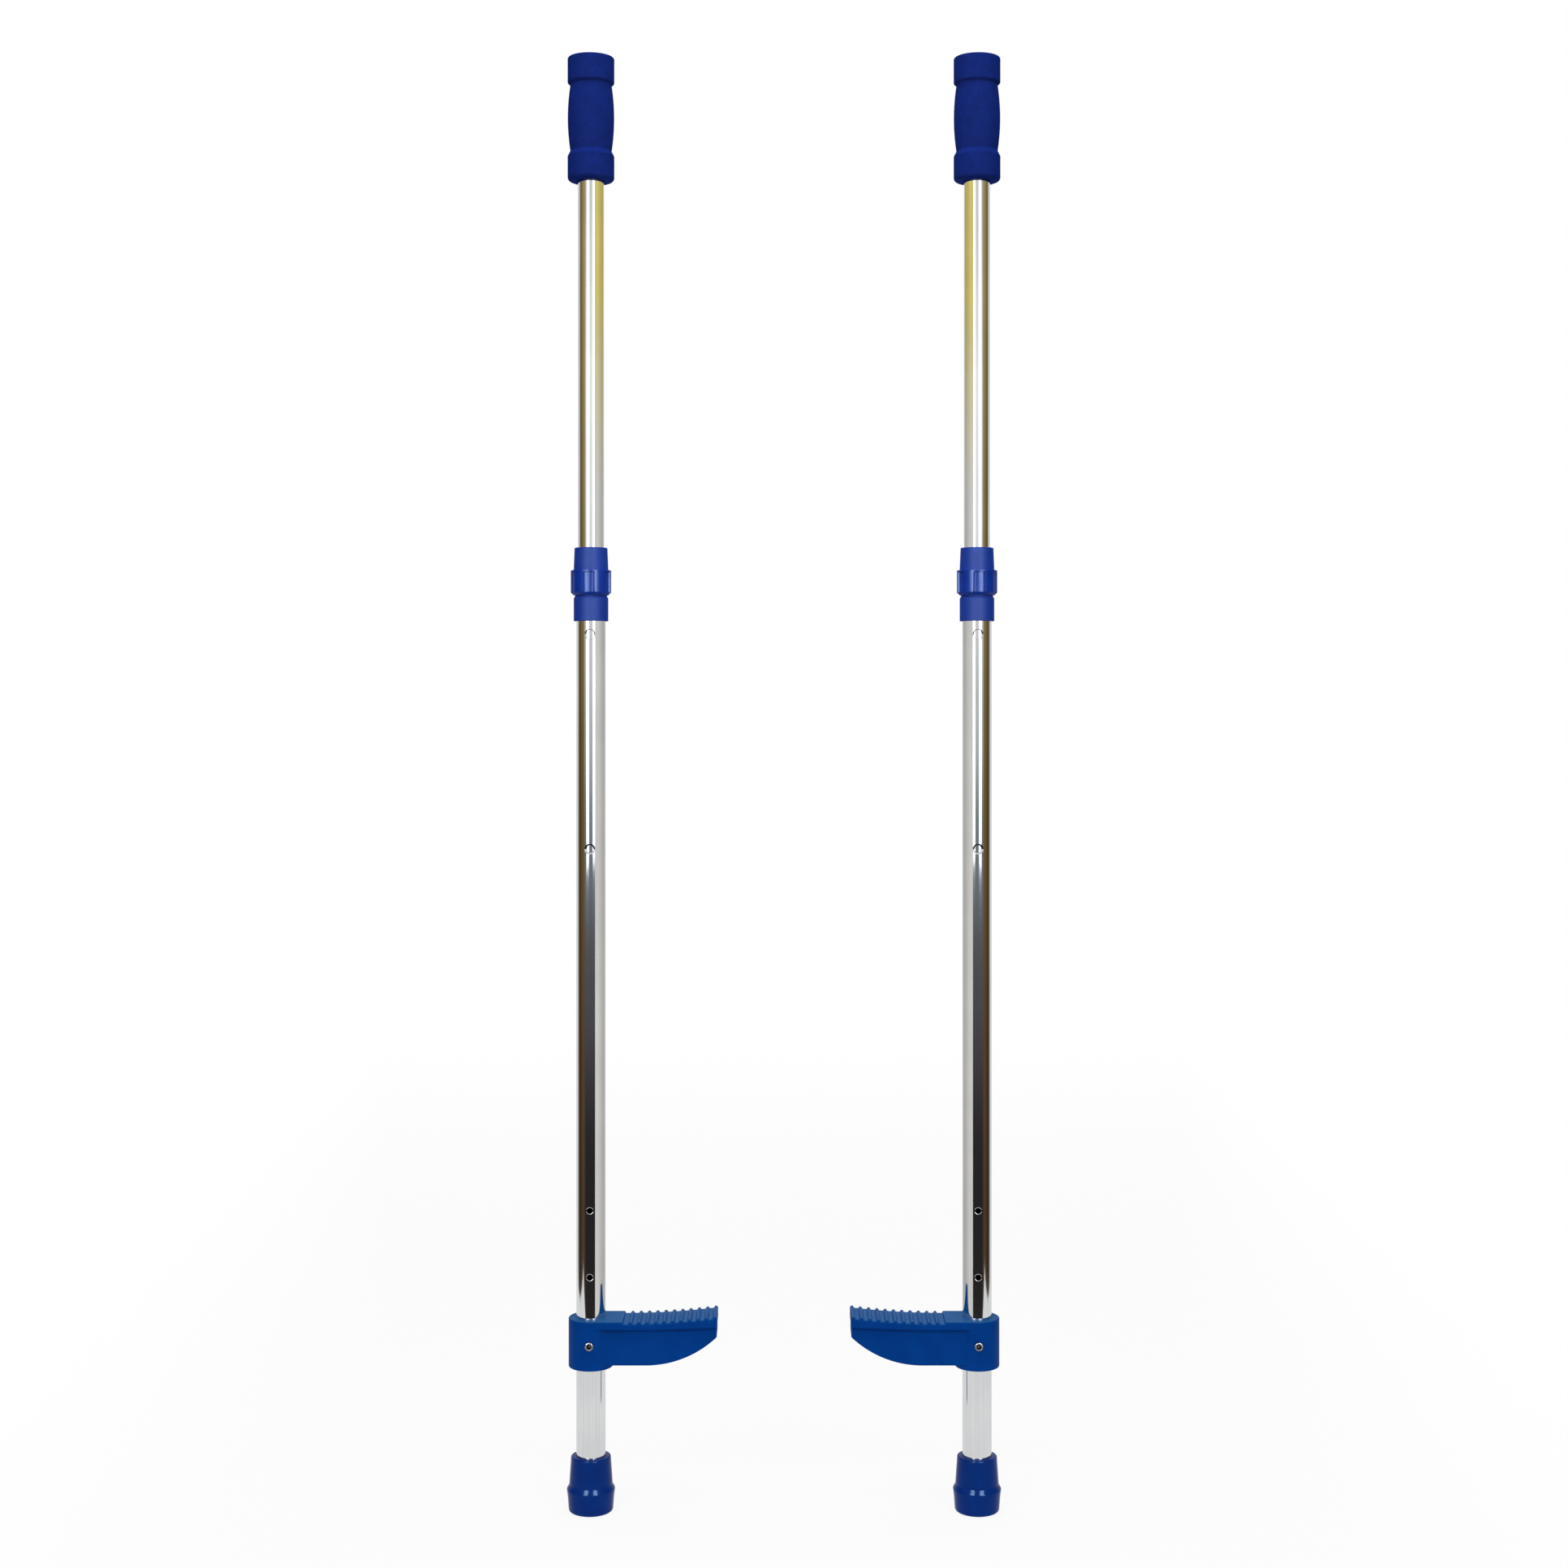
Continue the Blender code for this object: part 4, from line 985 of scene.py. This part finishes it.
def addBoard(setup):
    tall, middle = setup["high"] - setup["low"], (setup["high"] + setup["low"]) / 2
    bpy.ops.object.select_all(action="DESELECT")
    bpy.ops.mesh.primitive_plane_add(size=1, location=(0, 0, middle), rotation=(0, math.pi / 2, 0))
    board = bpy.context.object
    board.name = "studio_board"
    board.scale = (tall, setup["deep"], 1)
    bpy.ops.object.transform_apply(location=True, rotation=True, scale=True)
    material, tree, shader, place = startMaterial("glowing reflection board")
    parts = addNode(tree, "ShaderNodeSeparateXYZ", {"Vector": place})
    low, high = setup["yellowFrom"]
    upper = addNode(
        tree, "ShaderNodeMapRange", {"Value": parts.outputs["Z"]}, {"From Min": low, "From Max": high}
    )
    shade = addNode(
        tree, "ShaderNodeMix", {0: upper.outputs["Result"]},
        {6: toLinear(setup["grey"]), 7: toLinear(setup["yellow"])}, data_type="RGBA",
    )
    near, far = setup["dimFrom"]
    level = addNode(
        tree, "ShaderNodeMapRange", {"Value": parts.outputs["Y"]},
        {"From Min": near, "From Max": far, "To Min": 1.0, "To Max": setup["rear"]},
    )
    # the board glows rather than being lit: painted reflection, dimmer towards the rear
    glow = addNode(
        tree, "ShaderNodeEmission", {"Color": shade.outputs[2], "Strength": level.outputs["Result"]}
    )
    tree.links.new(glow.outputs["Emission"], tree.nodes["Material Output"].inputs["Surface"])
    board.data.materials.append(material)
    board.visible_camera = board.visible_diffuse = board.visible_shadow = board.visible_transmission = False


addBoard(boardSettings)

# lights: two tall softboxes beside the camera, with a wash above each, and a soft ceiling
lightSettings = {
    "softTurn": 25.0, "softAway": 2.6, "softWide": 0.95, "softTall": 2.0, "softUp": 1.43,
    "washUp": 2.35, "washAim": 0.5, "washWide": 1.6, "washTall": 0.9, "washPower": 22.0,
    "topUp": 2.9, "topLean": 0.001, "topWide": 3.0, "topPower": 60.0,
}


def addArea(name, wide, tall, place, target, power, litPieces=None):
    # a light either shows in the reflections of some pieces or lights matt surfaces
    data = bpy.data.lights.new(name, "AREA")
    data.shape = "RECTANGLE"
    data.size, data.size_y = wide, tall
    data.energy = power
    light = bpy.data.objects.new(name, data)
    light.location = place
    aimX, aimY, aimZ = [t - p for t, p in zip(target, place)]
    tilt = math.atan2(aimZ, math.hypot(aimX, aimY))
    light.rotation_euler = (math.pi / 2 + tilt, 0, math.atan2(aimY, aimX) - math.pi / 2)
    light.visible_camera = False
    light.visible_glossy = litPieces is not None
    light.visible_diffuse = litPieces is None
    light.light_linking.receiver_collection = litPieces
    bpy.context.collection.objects.link(light)


def lightStudio(setup):
    turn = math.radians(setup["softTurn"])
    softUp = setup["softUp"]
    for hand in (-1, 1):
        x, y = hand * setup["softAway"] * math.sin(turn), -setup["softAway"] * math.cos(turn)
        for shine, pieces in shinePieces.items():
            addArea(
                "softbox_" + shine, setup["softWide"], setup["softTall"], (x, y, softUp), (0, 0, softUp),
                shinePower[shine], pieces,
            )
        addArea(
            "softbox_wash", setup["washWide"], setup["washTall"], (x, y, setup["washUp"]),
            (0, 0, setup["washAim"]), setup["washPower"],
        )
    # the ceiling's aim is a hair off the vertical, so that it has a heading
    addArea(
        "ceiling", setup["topWide"], setup["topWide"], (0, 0, setup["topUp"]), (0, setup["topLean"], 0),
        setup["topPower"],
    )


lightStudio(lightSettings)

# room around the studio: wall colours go by height, and the walls change over by how far back one looks
roomSettings = {
    "white": "ffffff", "fill": "5c5c5c", "back": "e2e2e2", "toSide": (-0.8, -0.6), "toBack": (0.2, 0.55),
    "front": [
        (-0.216, "282525"), (-0.186, "2b2829"), (-0.148, "4a474b"), (-0.105, "58575b"), (-0.077, "747b80"),
        (-0.049, "78858e"), (-0.025, "b2babe"), (0.06, "ececec"), (0.14, "ffffff"), (0.2, "e4e4e4"),
        (0.234, "d8d8d8"),
    ],
    "frontReach": (-0.25, 0.35),
    "side": [
        (-0.261, "3a2c20"), (-0.144, "483624"), (-0.036, "584829"), (0.189, "83744c"), (0.5, "8a7c58"),
    ],
    "sideReach": (-0.3, 0.7), "sideDim": (-0.45, -0.05), "sideNear": 1.7, "sideFar": 0.85,
}


def makeRoom(setup):
    world = bpy.data.worlds.new("studio room")
    bpy.context.scene.world = world
    world.use_nodes = True
    tree = world.node_tree
    tree.nodes.clear()
    place = addNode(tree, "ShaderNodeTexCoord").outputs["Generated"]
    parts = addNode(tree, "ShaderNodeSeparateXYZ", {"Vector": place})
    walls = {}
    for wall in ("front", "side"):
        low, high = setup[wall + "Reach"]
        height = addNode(
            tree, "ShaderNodeMapRange", {"Value": parts.outputs["Z"]}, {"From Min": low, "From Max": high}
        )
        walls[wall] = addNode(
            tree, "ShaderNodeValToRGB", {"Fac": height.outputs["Result"]},
            stops=[((up - low) / (high - low), colour) for up, colour in setup[wall]],
        ).outputs["Color"]
    near, far = setup["sideDim"]
    dim = addNode(
        tree, "ShaderNodeMapRange", {"Value": parts.outputs["Y"]},
        {"From Min": near, "From Max": far, "To Min": setup["sideNear"], "To Max": setup["sideFar"]},
    )
    side = addNode(
        tree, "ShaderNodeVectorMath", {0: walls["side"], "Scale": dim.outputs["Result"]}, operation="SCALE"
    )
    turns = {}
    for change in ("toSide", "toBack"):
        near, far = setup[change]
        turns[change] = addNode(
            tree, "ShaderNodeMapRange", {"Value": parts.outputs["Y"]}, {"From Min": near, "From Max": far}
        ).outputs["Result"]
    around = addNode(
        tree, "ShaderNodeMix", {0: turns["toSide"], 6: walls["front"], 7: side.outputs["Vector"]},
        data_type="RGBA",
    )
    room = addNode(
        tree, "ShaderNodeMix", {0: turns["toBack"], 6: around.outputs[2]}, {7: toLinear(setup["back"])},
        data_type="RGBA",
    )
    # the room shows in reflections only, the view behind the object stays white
    rays = addNode(tree, "ShaderNodeLightPath")
    mirrored = addNode(
        tree, "ShaderNodeMix", {0: rays.outputs["Is Glossy Ray"], 7: room.outputs[2]},
        {6: toLinear(setup["fill"])}, data_type="RGBA",
    )
    shown = addNode(
        tree, "ShaderNodeMix", {0: rays.outputs["Is Camera Ray"], 6: mirrored.outputs[2]},
        {7: toLinear(setup["white"])}, data_type="RGBA",
    )
    background = addNode(tree, "ShaderNodeBackground", {"Color": shown.outputs[2]})
    addNode(tree, "ShaderNodeOutputWorld", {"Surface": background.outputs["Background"]})


makeRoom(roomSettings)
bpy.context.scene.view_settings.view_transform = "Standard"
print("studio lit")
